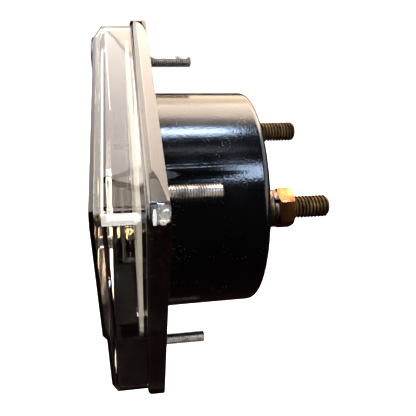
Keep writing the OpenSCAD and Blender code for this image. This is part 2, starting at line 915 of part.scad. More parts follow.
module rear_bridge() {
    color("#b8964e")
        at(0, pivot_z)
            difference() {
                for (side = [-1, 1]) {
                    translate([-rear_foot_in - rear_riser_t, rear_bridge_y, -bridge_w / 2])
                        cube([2 * (rear_foot_in + rear_riser_t), bridge_t, bridge_w]);
                    translate([side > 0 ? rear_foot_in : -rear_foot_in - rear_riser_t,
                        yoke_back_y, -bridge_w / 2])
                        cube([rear_riser_t, rear_bridge_back_y - yoke_back_y, bridge_w]);
                    translate([side > 0 ? rear_foot_in : -rear_foot_out, yoke_back_y,
                        -bridge_w / 2])
                        cube([rear_foot_out - rear_foot_in, foot_t, bridge_w]);
                }
                rod(jewel_d + 2 * fit, rear_bridge_y - 1, rear_bridge_back_y + 1);
                at(anchor_x, 0)
                    rod(anchor_d + 2 * fit, rear_bridge_y - 1, rear_bridge_back_y + 1);
                pair(rear_screw_x, 0)
                    rod(rear_screw_d + 4 * fit, yoke_back_y - 1, yoke_back_y + foot_t + 1);
            }
}

module rear_bridge_screws() {
    color("silver")
        pair(rear_screw_x, pivot_z) {
            rod(rear_screw_d, yoke_back_y - rear_screw_l, yoke_back_y + foot_t);
            rod(rear_head_d, yoke_back_y + foot_t, yoke_back_y + foot_t + rear_head_t);
        }
}

// Jewel screw: the cup faces the coil and the slot faces away from it
module jewel_screw(cup_y, slot_y) {
    inward = sign(slot_y - cup_y);
    color("#c8a860")
        at(0, pivot_z)
            difference() {
                rod(jewel_d, min(cup_y, slot_y), max(cup_y, slot_y));
                rod(2 * (pivot_r + fit), min(cup_y, cup_y + inward * cup_depth) - fit,
                    max(cup_y, cup_y + inward * cup_depth) + fit);
                translate([0, slot_y, 0])
                    cube([jewel_d + 1, 0.7, 0.5], center = true);
            }
}

module jewel_screw_front() {
    jewel_screw(bridge_back_y + jewel_reach, jewel_nut_front_y - 0.1);
}

module jewel_screw_rear() {
    jewel_screw(rear_bridge_y - jewel_reach, rear_bridge_back_y + jewel_nut_t + 0.5);
}

module jewel_nut(y0) {
    color("#b8964e")
        at(0, pivot_z)
            slab(y0, y0 + jewel_nut_t)
                difference() {
                    hexagon(jewel_d + 1.8);
                    circle(d = jewel_d + 2 * fit);
                }
}

module jewel_nut_front() {
    jewel_nut(jewel_nut_front_y);
}

module jewel_nut_rear() {
    jewel_nut(rear_bridge_back_y);
}

// Arm that carries the front hairspring's outer end, forked round the adjuster's pin
module zero_arm() {
    slot_w = pin_d + 0.24;
    fork_w = slot_w + 1.8;
    fork_tip = 1.2;
    fork_root = 1.4;
    slot_root = 0.8;
    tab_w = 1;
    tab_t = 0.4;
    lap = 0.1;
    color("#2c2c30")
        at(0, pivot_z) {
            slab(arm_front_y, arm_back_y)
                difference() {
                    union() {
                        circle(bush_r + 1);
                        translate([-arm_w / 2, -pin_reach])
                            square([arm_w, pin_reach]);
                        translate([-fork_w / 2, -pin_reach - fork_tip])
                            square([fork_w, fork_tip + fork_root]);
                    }
                    circle(bush_r + fit);
                    translate([-slot_w / 2, -pin_reach - fork_tip - 1])
                        square([slot_w, fork_tip + 1 + slot_root]);
                }
            translate([-tab_w / 2, arm_back_y - lap, -tab_r - tab_t])
                cube([tab_w, spring_back_y - arm_back_y + lap, tab_t]);
        }
}

// Flat spiral whose outer end lies at the angle given, clockwise from the upright
function spiral(r0, r1, turns, end, steps) =
    [for (i = [0:steps]) around(r0 + (r1 - r0) * i / steps, end - 360 * turns * (1 - i / steps))];

module hairspring(y0, end) {
    strip = 0.15;
    inner = hub_r + 0.2;
    steps = 20 * hairspring_turns;
    color("#d0b070")
        at(0, pivot_z)
            slab(y0, y0 + hairspring_w)
                polygon(concat(
                    spiral(inner + strip, hairspring_r + strip, hairspring_turns, end, steps),
                    [for (i = [steps:-1:0])
                        spiral(inner, hairspring_r, hairspring_turns, end, steps)[i]]));
}

module hairspring_front() {
    hairspring(spring_front_y, 180);
}

module hairspring_rear() {
    hairspring(rear_spring_y, 90);
}

module rear_anchor() {
    color("#c8a860")
        at(anchor_x + anchor_d / 4, pivot_z)
            rod(anchor_d / 2, rear_spring_y, anchor_end_y);
}

// Moving coil and pointer, drawn upright and turned to the zero end of the scale
module at_zero() {
    at(0, pivot_z)
        rotate([0, -swing / 2, 0])
            children();
}

module pointer() {
    tail = weight_reach + tail_weight_l;
    side_arm = weight_reach + side_weight_l;
    color("#1a1a1a")
        at_zero()
            difference() {
                union() {
                    rod(hub_disc_d, pointer_front_y, pointer_back_y);
                    slab(pointer_front_y, pointer_back_y) {
                        polygon([[-pointer_width(0) / 2, -1.2],
                            [-pointer_width(pointer_l) / 2, pointer_l - 1], [0, pointer_l],
                            [pointer_width(pointer_l) / 2, pointer_l - 1],
                            [pointer_width(0) / 2, -1.2]]);
                        translate([-balance_arm_w / 2, -tail])
                            square([balance_arm_w, tail]);
                        translate([-side_arm, -balance_arm_w / 2])
                            square([2 * side_arm, balance_arm_w]);
                    }
                }
                rod(2 * hub_r + fit, pointer_front_y - 1, pointer_back_y + 1);
            }
}

module balance_weights() {
    mid_y = (pointer_front_y + pointer_back_y) / 2;
    slot_w = balance_arm_w + fit;
    slot_t = pointer_t + fit;
    color("#b0a080")
        at_zero()
            for (a = [90, 180, 270]) {
                l = a == 180 ? tail_weight_l : side_weight_l;
                rotate([0, a, 0])
                    translate([0, mid_y, weight_reach])
                        difference() {
                            cylinder(d = weight_d, h = l);
                            translate([-slot_w / 2, -slot_t / 2, -1])
                                cube([slot_w, slot_t, l + 2]);
                        }
            }
}

// Rectangular hoop round the core: outline in Y and Z, extruded over its width
module hoop(r, l, inner_r, inner_l, corner, w) {
    at_zero()
        translate([-w / 2, coil_mid_y, 0])
            rotate([90, 0, 90])
                linear_extrude(w)
                    difference() {
                        rounded_rect(l, 2 * r, corner);
                        rounded_rect(inner_l, 2 * inner_r, max(0.2, corner - (r - inner_r)));
                    }
}

module coil_former() {
    color("silver")
        hoop(former_r, former_l, former_in_r, former_in_l, 1, former_w);
}

module coil_winding() {
    color("#b5651d")
        hoop(winding_r, winding_l, former_r, former_l, 1 + winding_t, winding_w);
}

module spindle_front() {
    base_y = coil_front_y - spindle_base_t;
    color("#90949a")
        at(0, pivot_z) {
            rod(spindle_base_d, base_y, coil_front_y);
            rod(spindle_d, pointer_back_y + hub_back, base_y);
            rod(2 * hub_r, pointer_front_y - hub_front, pointer_back_y + hub_back);
            rod(2 * collet_r, spring_front_y + fit, pointer_front_y - hub_front);
            rod(2 * pivot_r, bridge_back_y + jewel_reach - cup_depth + pivot_gap,
                spring_front_y + fit);
        }
}

module spindle_rear() {
    base_y = coil_back_y + spindle_base_t;
    color("#90949a")
        at(0, pivot_z) {
            rod(spindle_base_d, coil_back_y, base_y);
            rod(spindle_d, base_y, rear_spring_y);
            rod(2 * collet_r, rear_spring_y, rear_spring_y + hairspring_w);
            rod(2 * pivot_r, rear_spring_y + hairspring_w,
                rear_bridge_y - jewel_reach + cup_depth - pivot_gap);
        }
}

front_cover();
lower_mask();
zero_adjuster();
case();
mounting_studs();
terminal_left();
terminal_right();
terminal_washer();
spring_washer();
terminal_nut();
solder_tags();
lead_left();
lead_right();
dial_plate();
dial_screws();
pointer_stops();
movement_plate();
movement_screws();
yoke_ring();
yoke_screws();
core_magnet();
core_bar();
front_bridge();
front_bridge_screws();
rear_bridge();
rear_bridge_screws();
jewel_screw_front();
jewel_screw_rear();
jewel_nut_front();
jewel_nut_rear();
zero_arm();
hairspring_front();
hairspring_rear();
rear_anchor();
pointer();
balance_weights();
coil_former();
coil_winding();
spindle_front();
spindle_rear();
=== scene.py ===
"""Finished look of a clear-fronted moving-coil panel meter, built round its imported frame.

Metres throughout. X runs right as seen from the front, Y from the dial to the terminals and
Z up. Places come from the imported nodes' boxes; each class holds the sizes of one sub-assembly.
"""

from __future__ import annotations

import json
import logging
import math
from collections.abc import Callable, Iterator, Mapping, Sequence
from contextlib import contextmanager
from dataclasses import dataclass, field
from enum import Enum
from typing import Any

import bmesh
import bpy
from mathutils import Matrix, Vector


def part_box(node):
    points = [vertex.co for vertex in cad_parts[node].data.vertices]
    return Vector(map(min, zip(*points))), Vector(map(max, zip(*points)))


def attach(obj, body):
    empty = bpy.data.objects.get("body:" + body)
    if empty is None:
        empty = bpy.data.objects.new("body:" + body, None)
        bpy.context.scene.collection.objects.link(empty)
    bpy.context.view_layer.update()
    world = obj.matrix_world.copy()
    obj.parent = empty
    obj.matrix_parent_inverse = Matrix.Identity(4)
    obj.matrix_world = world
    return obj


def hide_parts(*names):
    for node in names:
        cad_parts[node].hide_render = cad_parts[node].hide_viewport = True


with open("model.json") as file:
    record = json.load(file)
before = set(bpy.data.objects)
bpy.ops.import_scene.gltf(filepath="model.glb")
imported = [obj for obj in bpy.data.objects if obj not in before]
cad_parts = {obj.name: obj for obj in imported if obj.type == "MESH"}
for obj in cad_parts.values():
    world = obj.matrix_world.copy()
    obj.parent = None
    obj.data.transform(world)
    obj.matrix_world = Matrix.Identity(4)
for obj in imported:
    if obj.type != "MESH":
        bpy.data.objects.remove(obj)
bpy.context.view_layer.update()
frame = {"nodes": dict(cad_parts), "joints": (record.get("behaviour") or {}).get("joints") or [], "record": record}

LOG = logging.getLogger("panel_meter")
MM = 0.001
BODY = "meter_body"
FRONT_TO_BACK = Vector((0, 1, 0))
TAU = 2 * math.pi
ORIGIN = Vector((0, 0, 0))
TOUCHING = 1e-6
MERGE = 1e-7
NEAR_OUTSIDE = 1.02

Profile = Sequence[tuple[float, float]]


class Pick(Enum):
    """What a selection in edit mode is made of."""

    VERTS = "VERT"
    EDGES = "EDGE"
    FACES = "FACE"


class Joining(Enum):
    """How two solids become one."""

    ADD = "UNION"
    CUT = "DIFFERENCE"
    KEEP_COMMON = "INTERSECT"


# ---------------------------------------------------------------- bench tools


def deselect_all() -> None:
    """Leaves edit mode and deselects every object."""
    if bpy.context.mode != "OBJECT":
        bpy.ops.object.mode_set(mode="OBJECT")
    bpy.ops.object.select_all(action="DESELECT")


def make_active(piece: bpy.types.Object) -> None:
    """Selects one object alone and makes it active.

    Args:
        piece: The object.
    """
    deselect_all()
    piece.select_set(True)
    bpy.context.view_layer.objects.active = piece


@contextmanager
def editing(piece: bpy.types.Object) -> Iterator[None]:
    """Keeps a piece in edit mode for the length of a with block.

    Args:
        piece: The object to edit.

    Returns:
        A context that ends in object mode.
    """
    make_active(piece)
    bpy.ops.object.mode_set(mode="EDIT")
    try:
        yield
    finally:
        bpy.ops.object.mode_set(mode="OBJECT")


def pick(piece: bpy.types.Object, kind: Pick, test: Callable[[Any], bool]) -> None:
    """Selects the parts of the edited mesh that pass a test.

    Args:
        piece: The object in edit mode.
        kind: Whether vertices, edges or faces are tested.
        test: Takes a bmesh vertex, edge or face and says whether it is wanted.
    """
    bpy.ops.mesh.select_mode(type=kind.value)
    bpy.ops.mesh.select_all(action="DESELECT")
    mesh = bmesh.from_edit_mesh(piece.data)
    parts = {Pick.VERTS: mesh.verts, Pick.EDGES: mesh.edges, Pick.FACES: mesh.faces}[kind]
    for part in [part for part in parts if test(part)]:
        part.select_set(True)
    mesh.select_flush_mode()
    bmesh.update_edit_mesh(piece.data)


def middle(part: bmesh.types.BMEdge) -> Vector:
    """The middle of an edge."""
    return (part.verts[0].co + part.verts[1].co) / 2


def at_depth(y: float) -> Callable[[Any], bool]:
    """A test for edges or faces that lie wholly in the plane at depth y."""
    return lambda part: all(abs(v.co.y - y) < TOUCHING for v in part.verts)


def newest(name: str) -> bpy.types.Object:
    """Names the object that an operator just added and puts its place into its mesh.

    Args:
        name: Name for the object and its mesh.

    Returns:
        The object, now at the origin.
    """
    piece = bpy.context.active_object
    piece.name = name
    piece.data.name = name
    bpy.ops.object.transform_apply(location=True, rotation=True, scale=True)
    return piece


def block(
    name: str, low: Vector, high: Vector, corner: float = 0, segments: int = 10
) -> bpy.types.Object:
    """A box whose four front-to-back edges are rounded.

    Args:
        name: Name of the new object.
        low: Lowest corner.
        high: Highest corner.
        corner: Radius of the four edges.
        segments: Facets in each rounded edge.

    Returns:
        The new object.
    """
    deselect_all()
    bpy.ops.mesh.primitive_cube_add(size=1, location=(low + high) / 2, scale=high - low)
    piece = newest(name)
    if corner:
        with editing(piece):
            pick(piece, Pick.EDGES, lambda e: abs(e.verts[0].co.y - e.verts[1].co.y) > TOUCHING)
            bpy.ops.mesh.bevel(offset=corner, segments=segments, affect="EDGES")
    return piece


def round_rim(piece: bpy.types.Object, y: float, radius: float, segments: int) -> None:
    """Bevels the outline of a piece where it meets the plane at depth y.

    Args:
        piece: The object to shape.
        y: Depth of the rim.
        radius: Width of the bevel.
        segments: Facets across it.
    """
    with editing(piece):
        pick(piece, Pick.EDGES, at_depth(y))
        bpy.ops.mesh.bevel(offset=radius, segments=segments, affect="EDGES")


def draw_out(piece: bpy.types.Object, y: float, reach: float, scale: Vector, centre: Vector) -> None:
    """Extrudes the faces at depth y and resizes the new ones about a centre.

    Args:
        piece: The object to shape.
        y: Depth of the faces to extrude.
        reach: How far they move along Y.
        scale: Factors along X, Y and Z.
        centre: The point that stays in place while they are resized.
    """
    with editing(piece):
        pick(piece, Pick.FACES, at_depth(y))
        bpy.ops.mesh.extrude_region_move(TRANSFORM_OT_translate={"value": (0, reach, 0)})
        bpy.ops.transform.resize(value=scale, center_override=centre)


def cut_level(piece: bpy.types.Object, z: float, below: bool) -> None:
    """Cuts a piece off at a height and closes the cut.

    Args:
        piece: The object to shape.
        z: Height of the cut.
        below: Whether the part below the cut goes, and not the part above it.
    """
    with editing(piece):
        bpy.ops.mesh.select_all(action="SELECT")
        bpy.ops.mesh.bisect(
            plane_co=(0, 0, z),
            plane_no=(0, 0, 1),
            use_fill=True,
            clear_inner=below,
            clear_outer=not below,
        )


def chain(name: str, profile: Profile) -> bpy.types.Object:
    """Makes a chain of edges.

    Args:
        name: Name of the new object.
        profile: Points of radius and Y, in order.

    Returns:
        The chain, with the radius along X.
    """
    deselect_all()
    bpy.ops.mesh.primitive_plane_add(size=MM)
    piece = newest(name)
    with editing(piece):
        bpy.ops.mesh.select_mode(type="VERT")
        bpy.ops.mesh.select_all(action="SELECT")
        bpy.ops.mesh.merge(type="CENTER")
        radius, y = profile[0]
        bpy.ops.transform.translate(value=(radius, y, 0))
        for next_radius, next_y in profile[1:]:
            step = (next_radius - radius, next_y - y, 0)
            bpy.ops.mesh.extrude_region_move(TRANSFORM_OT_translate={"value": step})
            radius, y = next_radius, next_y
    return piece


def turn(name: str, profile: Profile, segments: int = 96) -> bpy.types.Object:
    """Spins a profile of radius and depth about the Y axis.

    Args:
        name: Name of the new object.
        profile: Points of radius and Y, from one end to the other.
        segments: Facets round the axis.

    Returns:
        The turned object, with outward faces.
    """
    piece = chain(name, profile)
    with editing(piece):
        bpy.ops.mesh.select_all(action="SELECT")
        bpy.ops.mesh.spin(steps=segments, angle=TAU, center=ORIGIN, axis=FRONT_TO_BACK)
        close_seams()
    return piece


def bar(name: str, radius: float, y0: float, y1: float, segments: int = 48) -> bpy.types.Object:
    """A plain round bar on the Y axis, from y0 to y1, with so many facets round it."""
    return turn(name, [(0, y0), (radius, y0), (radius, y1), (0, y1)], segments)


def close_seams() -> None:
    """Merges the edited mesh's doubled points and turns its faces outwards."""
    bpy.ops.mesh.select_all(action="SELECT")
    bpy.ops.mesh.remove_doubles(threshold=MERGE)
    bpy.ops.mesh.normals_make_consistent(inside=False)


def arc(
    radius: float, y: float, bend: float, start: float, end: float, steps: int
) -> list[tuple[float, float]]:
    """A bend in a turned profile; 0 degrees is outward and 90 towards the terminals."""
    angles = [math.radians(start + (end - start) * i / steps) for i in range(steps + 1)]
    return [(radius + bend * math.cos(a), y + bend * math.sin(a)) for a in angles]


def move(piece: bpy.types.Object, x: float = 0, y: float = 0, z: float = 0) -> bpy.types.Object:
    """Moves a piece inside its own mesh, so that its object stays at the origin.

    Args:
        piece: The piece to move.
        x: Distance to the right.
        y: Distance towards the terminals.
        z: Distance upwards.

    Returns:
        The same piece.
    """
    with editing(piece):
        bpy.ops.mesh.select_all(action="SELECT")
        bpy.ops.transform.translate(value=(x, y, z))
    return piece


def turn_about(piece: bpy.types.Object, degrees: float, centre: Vector) -> bpy.types.Object:
    """Turns a piece's mesh about a front-to-back line, clockwise as seen from the front.

    Args:
        piece: The piece to turn.
        degrees: Angle of the turn.
        centre: A point on the line.

    Returns:
        The same piece.
    """
    with editing(piece):
        bpy.ops.mesh.select_all(action="SELECT")
        bpy.ops.transform.rotate(
            value=math.radians(degrees),
            orient_axis="Y",
            orient_type="GLOBAL",
            center_override=centre,
        )
    return piece


def duplicate(piece: bpy.types.Object, name: str) -> bpy.types.Object:
    """Copies a piece.

    Args:
        piece: The piece to copy.
        name: Name of the copy.

    Returns:
        The copy, with a mesh of its own.
    """
    twin = piece.copy()
    twin.data = piece.data.copy()
    twin.name = name
    bpy.context.scene.collection.objects.link(twin)
    return twin


def combine(piece: bpy.types.Object, tool: bpy.types.Object, how: Joining) -> bpy.types.Object:
    """Joins a piece with another solid, which is used up.

    Args:
        piece: The piece that stays.
        tool: The other solid.
        how: Whether it is added, cut away or kept where both are.

    Returns:
        The piece.
    """
    boolean = piece.modifiers.new(how.value.lower(), "BOOLEAN")
    boolean.operation = how.value
    boolean.solver = "EXACT"
    boolean.object = tool
    make_active(piece)
    bpy.ops.object.modifier_apply(modifier=boolean.name)
    bpy.data.objects.remove(tool, do_unlink=True)
    return piece


def gather(name: str, pieces: Sequence[bpy.types.Object]) -> bpy.types.Object:
    """Joins pieces into one object without changing their shapes.

    Args:
        name: Name of the whole.
        pieces: What it is made of.

    Returns:
        The whole.
    """
    deselect_all()
    for piece in pieces:
        piece.select_set(True)
    bpy.context.view_layer.objects.active = pieces[0]
    bpy.ops.object.join()
    whole = bpy.context.active_object
    whole.name = name
    whole.data.name = name
    return whole


def soften(piece: bpy.types.Object, width: float, segments: int = 2, angle: float = 35) -> None:
    """Rounds the crisp edges of a piece with an applied Bevel modifier.

    Args:
        piece: The piece to finish.
        width: Width of the rounding.
        segments: Facets across it.
        angle: Edges flatter than this many degrees stay as they are.
    """
    bevel = piece.modifiers.new("soft_edges", "BEVEL")
    bevel.width = width
    bevel.segments = segments
    bevel.limit_method = "ANGLE"
    bevel.angle_limit = math.radians(angle)
    bevel.use_clamp_overlap = True
    bevel.miter_outer = "MITER_ARC"
    make_active(piece)
    bpy.ops.object.modifier_apply(modifier=bevel.name)


def smooth(piece: bpy.types.Object, angle: float = 30) -> None:
    """Shades a piece smooth, except across edges sharper than an angle in degrees."""
    make_active(piece)
    bpy.ops.object.shade_smooth_by_angle(angle=math.radians(angle))


# ------------------------------------------------------------------- finishes


def linear(code: str) -> tuple[float, float, float, float]:
    """Turns an sRGB hex colour into linear RGBA.

    Args:
        code: A colour such as '#c08040'.

    Returns:
        Red, green, blue and an alpha of one.
    """
    parts = [int(code[i : i + 2], 16) / 255 for i in (1, 3, 5)]
    r, g, b = (c / 12.92 if c <= 0.04045 else ((c + 0.055) / 1.055) ** 2.4 for c in parts)
    return (r, g, b, 1.0)


def per_metre(grain_mm: float) -> float:
    """How many grains of a size in millimetres lie along a metre."""
    return 1 / (grain_mm * MM)


# Sockets by number: Map Range takes its value at 0, the span it comes from at 1 and 2 and the
# span it goes to at 3 and 4; a colour Mix takes its factor at 0 and its colours at 6 and 7.
def add_node(
    tree: bpy.types.NodeTree,
    kind: str,
    settings: Mapping[str | int, Any] | None = None,
    links: Mapping[str | int, bpy.types.NodeSocket] | None = None,
) -> bpy.types.Node:
    """Adds a shader node.

    Args:
        tree: The tree that gets the node.
        kind: The node's type without its 'ShaderNode' start.
        settings: Attributes by name, and input values by number or by socket name.
        links: Sockets that feed the inputs, by number or by socket name.

    Returns:
        The new node.
    """
    node = tree.nodes.new("ShaderNode" + kind)
    for key, value in (settings or {}).items():
        if isinstance(key, str) and hasattr(node, key):
            setattr(node, key, value)
        else:
            node.inputs[key].default_value = value
    for key, socket in (links or {}).items():
        tree.links.new(socket, node.inputs[key])
    return node


def new_material(name: str, values: Mapping[str, Any]) -> tuple[bpy.types.Material, bpy.types.Node]:
    """Starts a material on a Principled shader.

    Args:
        name: The finish, in a maker's words.
        values: Values for the shader's own sockets.

    Returns:
        The material and its shader node.
    """
    material = bpy.data.materials.new(name)
    material.use_nodes = True
    shader = material.node_tree.nodes["Principled BSDF"]
    for key, value in values.items():
        shader.inputs[key].default_value = value
    return material, shader


@dataclass(frozen=True)
class ClearMoulding:
    """Clear acrylic, injection moulded."""

    name: str = "clear_moulded_acrylic"
    tint: str = "#fbf8f2"
    ior: float = 1.49
    clear: float = 1.0
    scuff_grain_mm: float = 3.5
    ripple_grain_mm: float = 9.0

    def build(self) -> bpy.types.Material:
        """Makes the material.

        Returns:
            Clear plastic with a slow ripple from its mould and fine handling scuffs.
        """
        values = {"Base Color": linear(self.tint), "IOR": self.ior, "Transmission Weight": self.clear}
        material, shader = new_material(self.name, values)
        tree = material.node_tree
        place = add_node(tree, "TexCoord").outputs["Object"]
        # Scuffs from years of handling: they blur what shines through in soft patches.
        scuffs = add_node(
            tree,
            "TexNoise",
            {"Scale": per_metre(self.scuff_grain_mm), "Detail": 6.0, "Roughness": 0.7},
            {"Vector": place},
        )
        blur = add_node(
            tree, "MapRange", {1: 0.45, 2: 0.75, 3: 0.01, 4: 0.04}, {0: scuffs.outputs[0]}
        )
        # Sink and flow in the mould: reflections bend slightly along the long faces.
        flow = add_node(
            tree,
            "TexNoise",
            {"Scale": per_metre(self.ripple_grain_mm), "Detail": 1.0},
            {"Vector": place},
        )
        ripple = add_node(
            tree, "Bump", {"Strength": 0.25, "Distance": 0.03 * MM}, {"Height": flow.outputs[0]}
        )
        tree.links.new(blur.outputs[0], shader.inputs["Roughness"])
        tree.links.new(ripple.outputs[0], shader.inputs["Normal"])
        return material


@dataclass(frozen=True)
class BlackMoulding:
    """Black phenolic, compression moulded."""

    name: str
    colour: str = "#050506"
    dust_colour: str = "#8b857c"
    roughness: float = 0.14
    dust: float = 1.0
    dust_grain_mm: float = 0.55
    dust_patch_mm: float = 5.0
    wear_mm: float = 6.0
    peel_mm: float = 0.45
    peel_depth_mm: float = 0.024
    ripple_mm: float = 6.0
    specular: float = 0.5

    def build(self) -> bpy.types.Material:
        """Makes the material.

        Returns:
            Deep gloss that breaks up into fine sparkle, with dust specks lying on it.
        """
        values = {"IOR": 1.56, "Specular IOR Level": self.specular}
        material, shader = new_material(self.name, values)
        tree = material.node_tree
        place = add_node(tree, "TexCoord").outputs["Object"]
        # Dust: small pale specks, only where patches of it have settled.
        specks = add_node(
            tree, "TexVoronoi", {"Scale": per_metre(self.dust_grain_mm)}, {"Vector": place}
        )
        dots = add_node(
            tree, "MapRange", {1: 0.10, 2: 0.17, 3: 1.0, 4: 0.0}, {0: specks.outputs["Distance"]}
        )
        patches = add_node(
            tree, "TexNoise", {"Scale": per_metre(self.dust_patch_mm), "Detail": 3.0}, {"Vector": place}
        )
        settled = add_node(
            tree, "MapRange", {1: 0.51, 2: 0.68, 3: 0.0, 4: self.dust}, {0: patches.outputs[0]}
        )
        dust = add_node(
            tree, "Math", {"operation": "MULTIPLY"}, {0: dots.outputs[0], 1: settled.outputs[0]}
        )
        colour = add_node(
            tree,
            "Mix",
            {"data_type": "RGBA", 6: linear(self.colour), 7: linear(self.dust_colour)},
            {0: dust.outputs[0]},
        )
        # Gloss: worn a little unevenly, and dull where a speck lies.
        wear = add_node(
            tree, "TexNoise", {"Scale": per_metre(self.wear_mm), "Detail": 4.0}, {"Vector": place}
        )
        gloss = add_node(
            tree,
            "MapRange",
            {1: 0.3, 2: 0.8, 3: self.roughness * 0.7, 4: self.roughness * 1.6},
            {0: wear.outputs[0]},
        )
        dull = add_node(
            tree, "Math", {"operation": "MAXIMUM"}, {0: gloss.outputs[0], 1: dust.outputs[0]}
        )
        # Fine peel of the moulded skin: it turns a bright strip into a band of sparkle.
        skin = add_node(
            tree, "TexNoise", {"Scale": per_metre(self.peel_mm), "Detail": 2.0}, {"Vector": place}
        )
        peel = add_node(
            tree,
            "Bump",
            {"Strength": 1.0, "Distance": self.peel_depth_mm * MM},
            {"Height": skin.outputs[0]},
        )
        swell = add_node(
            tree, "TexNoise", {"Scale": per_metre(self.ripple_mm), "Detail": 1.0}, {"Vector": place}
        )
        ripple = add_node(
            tree,
            "Bump",
            {"Strength": 0.5, "Distance": 0.02 * MM},
            {"Height": swell.outputs[0], "Normal": peel.outputs[0]},
        )
        tree.links.new(colour.outputs[2], shader.inputs["Base Color"])
        tree.links.new(dull.outputs[0], shader.inputs["Roughness"])
        tree.links.new(ripple.outputs[0], shader.inputs["Normal"])
        return material


@dataclass(frozen=True)
class AgedMetal:
    """Bare or plated metal: two tones of metal with a duller film over part of it."""

    name: str
    bright: str
    dull: str
    film: str
    film_from: float = 0.45
    film_to: float = 0.65
    shine: float = 0.22
    matt: float = 0.5
    grain_mm: float = 1.6
    pits_mm: float = 0.25
    pit_depth_mm: float = 0.02

    def build(self) -> bpy.types.Material:
        """Makes the material.

        Returns:
            Metal whose shine is uneven, duller and darker where the film lies.
        """
        material, shader = new_material(self.name, {"Metallic": 1.0})
        tree = material.node_tree
        place = add_node(tree, "TexCoord").outputs["Object"]
        # Two tones, as handling leaves them.
        tone = add_node(
            tree, "TexNoise", {"Scale": per_metre(self.grain_mm), "Detail": 3.0}, {"Vector": place}
        )
        metal = add_node(
            tree,
            "Mix",
            {"data_type": "RGBA", 6: linear(self.bright), 7: linear(self.dull)},
            {0: tone.outputs[0]},
        )
        # Tarnish or oxide: a film in patches that takes the shine away.
        spread = add_node(
            tree,
            "TexNoise",
            {"Scale": per_metre(self.grain_mm * 1.7), "Detail": 5.0, "Roughness": 0.65},
            {"Vector": place},
        )
        film = add_node(
            tree,
            "MapRange",
            {1: self.film_from, 2: self.film_to, 3: 0.0, 4: 1.0},
            {0: spread.outputs[0]},
        )
        colour = add_node(
            tree,
            "Mix",
            {"data_type": "RGBA", 7: linear(self.film)},
            {0: film.outputs[0], 6: metal.outputs[2]},
        )
        sheen = add_node(
            tree, "MapRange", {1: 0.0, 2: 1.0, 3: self.shine, 4: self.matt}, {0: film.outputs[0]}
        )
        # Tool marks and pits, just large enough to show.
        marks = add_node(
            tree, "TexNoise", {"Scale": per_metre(self.pits_mm), "Detail": 2.0}, {"Vector": place}
        )
        pits = add_node(
            tree,
            "Bump",
            {"Strength": 0.4, "Distance": self.pit_depth_mm * MM},
            {"Height": marks.outputs[0]},
        )
        tree.links.new(colour.outputs[2], shader.inputs["Base Color"])
        tree.links.new(sheen.outputs[0], shader.inputs["Roughness"])
        tree.links.new(pits.outputs[0], shader.inputs["Normal"])
        return material


@dataclass(frozen=True)
class Coating:
    """Paint, ink, lacquer or plastic sleeve."""

    name: str
    colour: str
    shade: str
    roughness: float = 0.5
    grain_mm: float = 0.4
    depth_mm: float = 0.01

    def build(self) -> bpy.types.Material:
        """Makes the material.

        Returns:
            An even colour with a soft mottle that also lifts its surface slightly.
        """
        material, shader = new_material(self.name, {"Roughness": self.roughness})
        tree = material.node_tree
        place = add_node(tree, "TexCoord").outputs["Object"]
        mottle = add_node(
            tree, "TexNoise", {"Scale": per_metre(self.grain_mm), "Detail": 3.0}, {"Vector": place}
        )
        colour = add_node(
            tree,
            "Mix",
            {"data_type": "RGBA", 6: linear(self.colour), 7: linear(self.shade)},
            {0: mottle.outputs[0]},
        )
        lift = add_node(
            tree,
            "Bump",
            {"Strength": 0.3, "Distance": self.depth_mm * MM},
            {"Height": mottle.outputs[0]},
        )
        tree.links.new(colour.outputs[2], shader.inputs["Base Color"])
        tree.links.new(lift.outputs[0], shader.inputs["Normal"])
        return material


@dataclass(frozen=True)
class WoundWire:
    """Enamelled copper wire in close turns."""

    name: str = "enamelled_copper_winding"
    wire_mm: float = 0.12
    # Dark copper laid between the turns as painted shade, not a colour of the wire itself.
    painted_gap_shade: str = "#5e2410"
    crown: str = "#c06a34"

    def build(self) -> bpy.types.Material:
        """Makes the material.

        Returns:
            Fine copper ridges, one for each turn of wire, with painted shade in the gaps between turns, under a
            lacquer gloss.
        """
        values = {"Metallic": 0.7, "Roughness": 0.3, "Coat Weight": 0.6}
        material, shader = new_material(self.name, values)
        tree = material.node_tree
        place = add_node(tree, "TexCoord").outputs["Object"]
        # A wave's bands repeat every pi / 10 units at scale one.
        turns = add_node(
            tree,
            "TexWave",
            {"Scale": math.pi / 10 * per_metre(self.wire_mm), "Distortion": 0.4, "bands_direction": "Y"},
            {"Vector": place},
        )
        # Painted shade: the colour darkens from the crown colour to the gap colour between the turns.
        colour = add_node(
            tree,
            "Mix",
            {"data_type": "RGBA", 6: linear(self.painted_gap_shade), 7: linear(self.crown)},
            {0: turns.outputs["Fac"]},
        )
        ridges = add_node(
            tree, "Bump", {"Strength": 0.7, "Distance": 0.05 * MM}, {"Height": turns.outputs["Fac"]}
        )
        tree.links.new(colour.outputs[2], shader.inputs["Base Color"])
        tree.links.new(ridges.outputs[0], shader.inputs["Normal"])
        return material


Recipe = ClearMoulding | BlackMoulding | AgedMetal | Coating | WoundWire


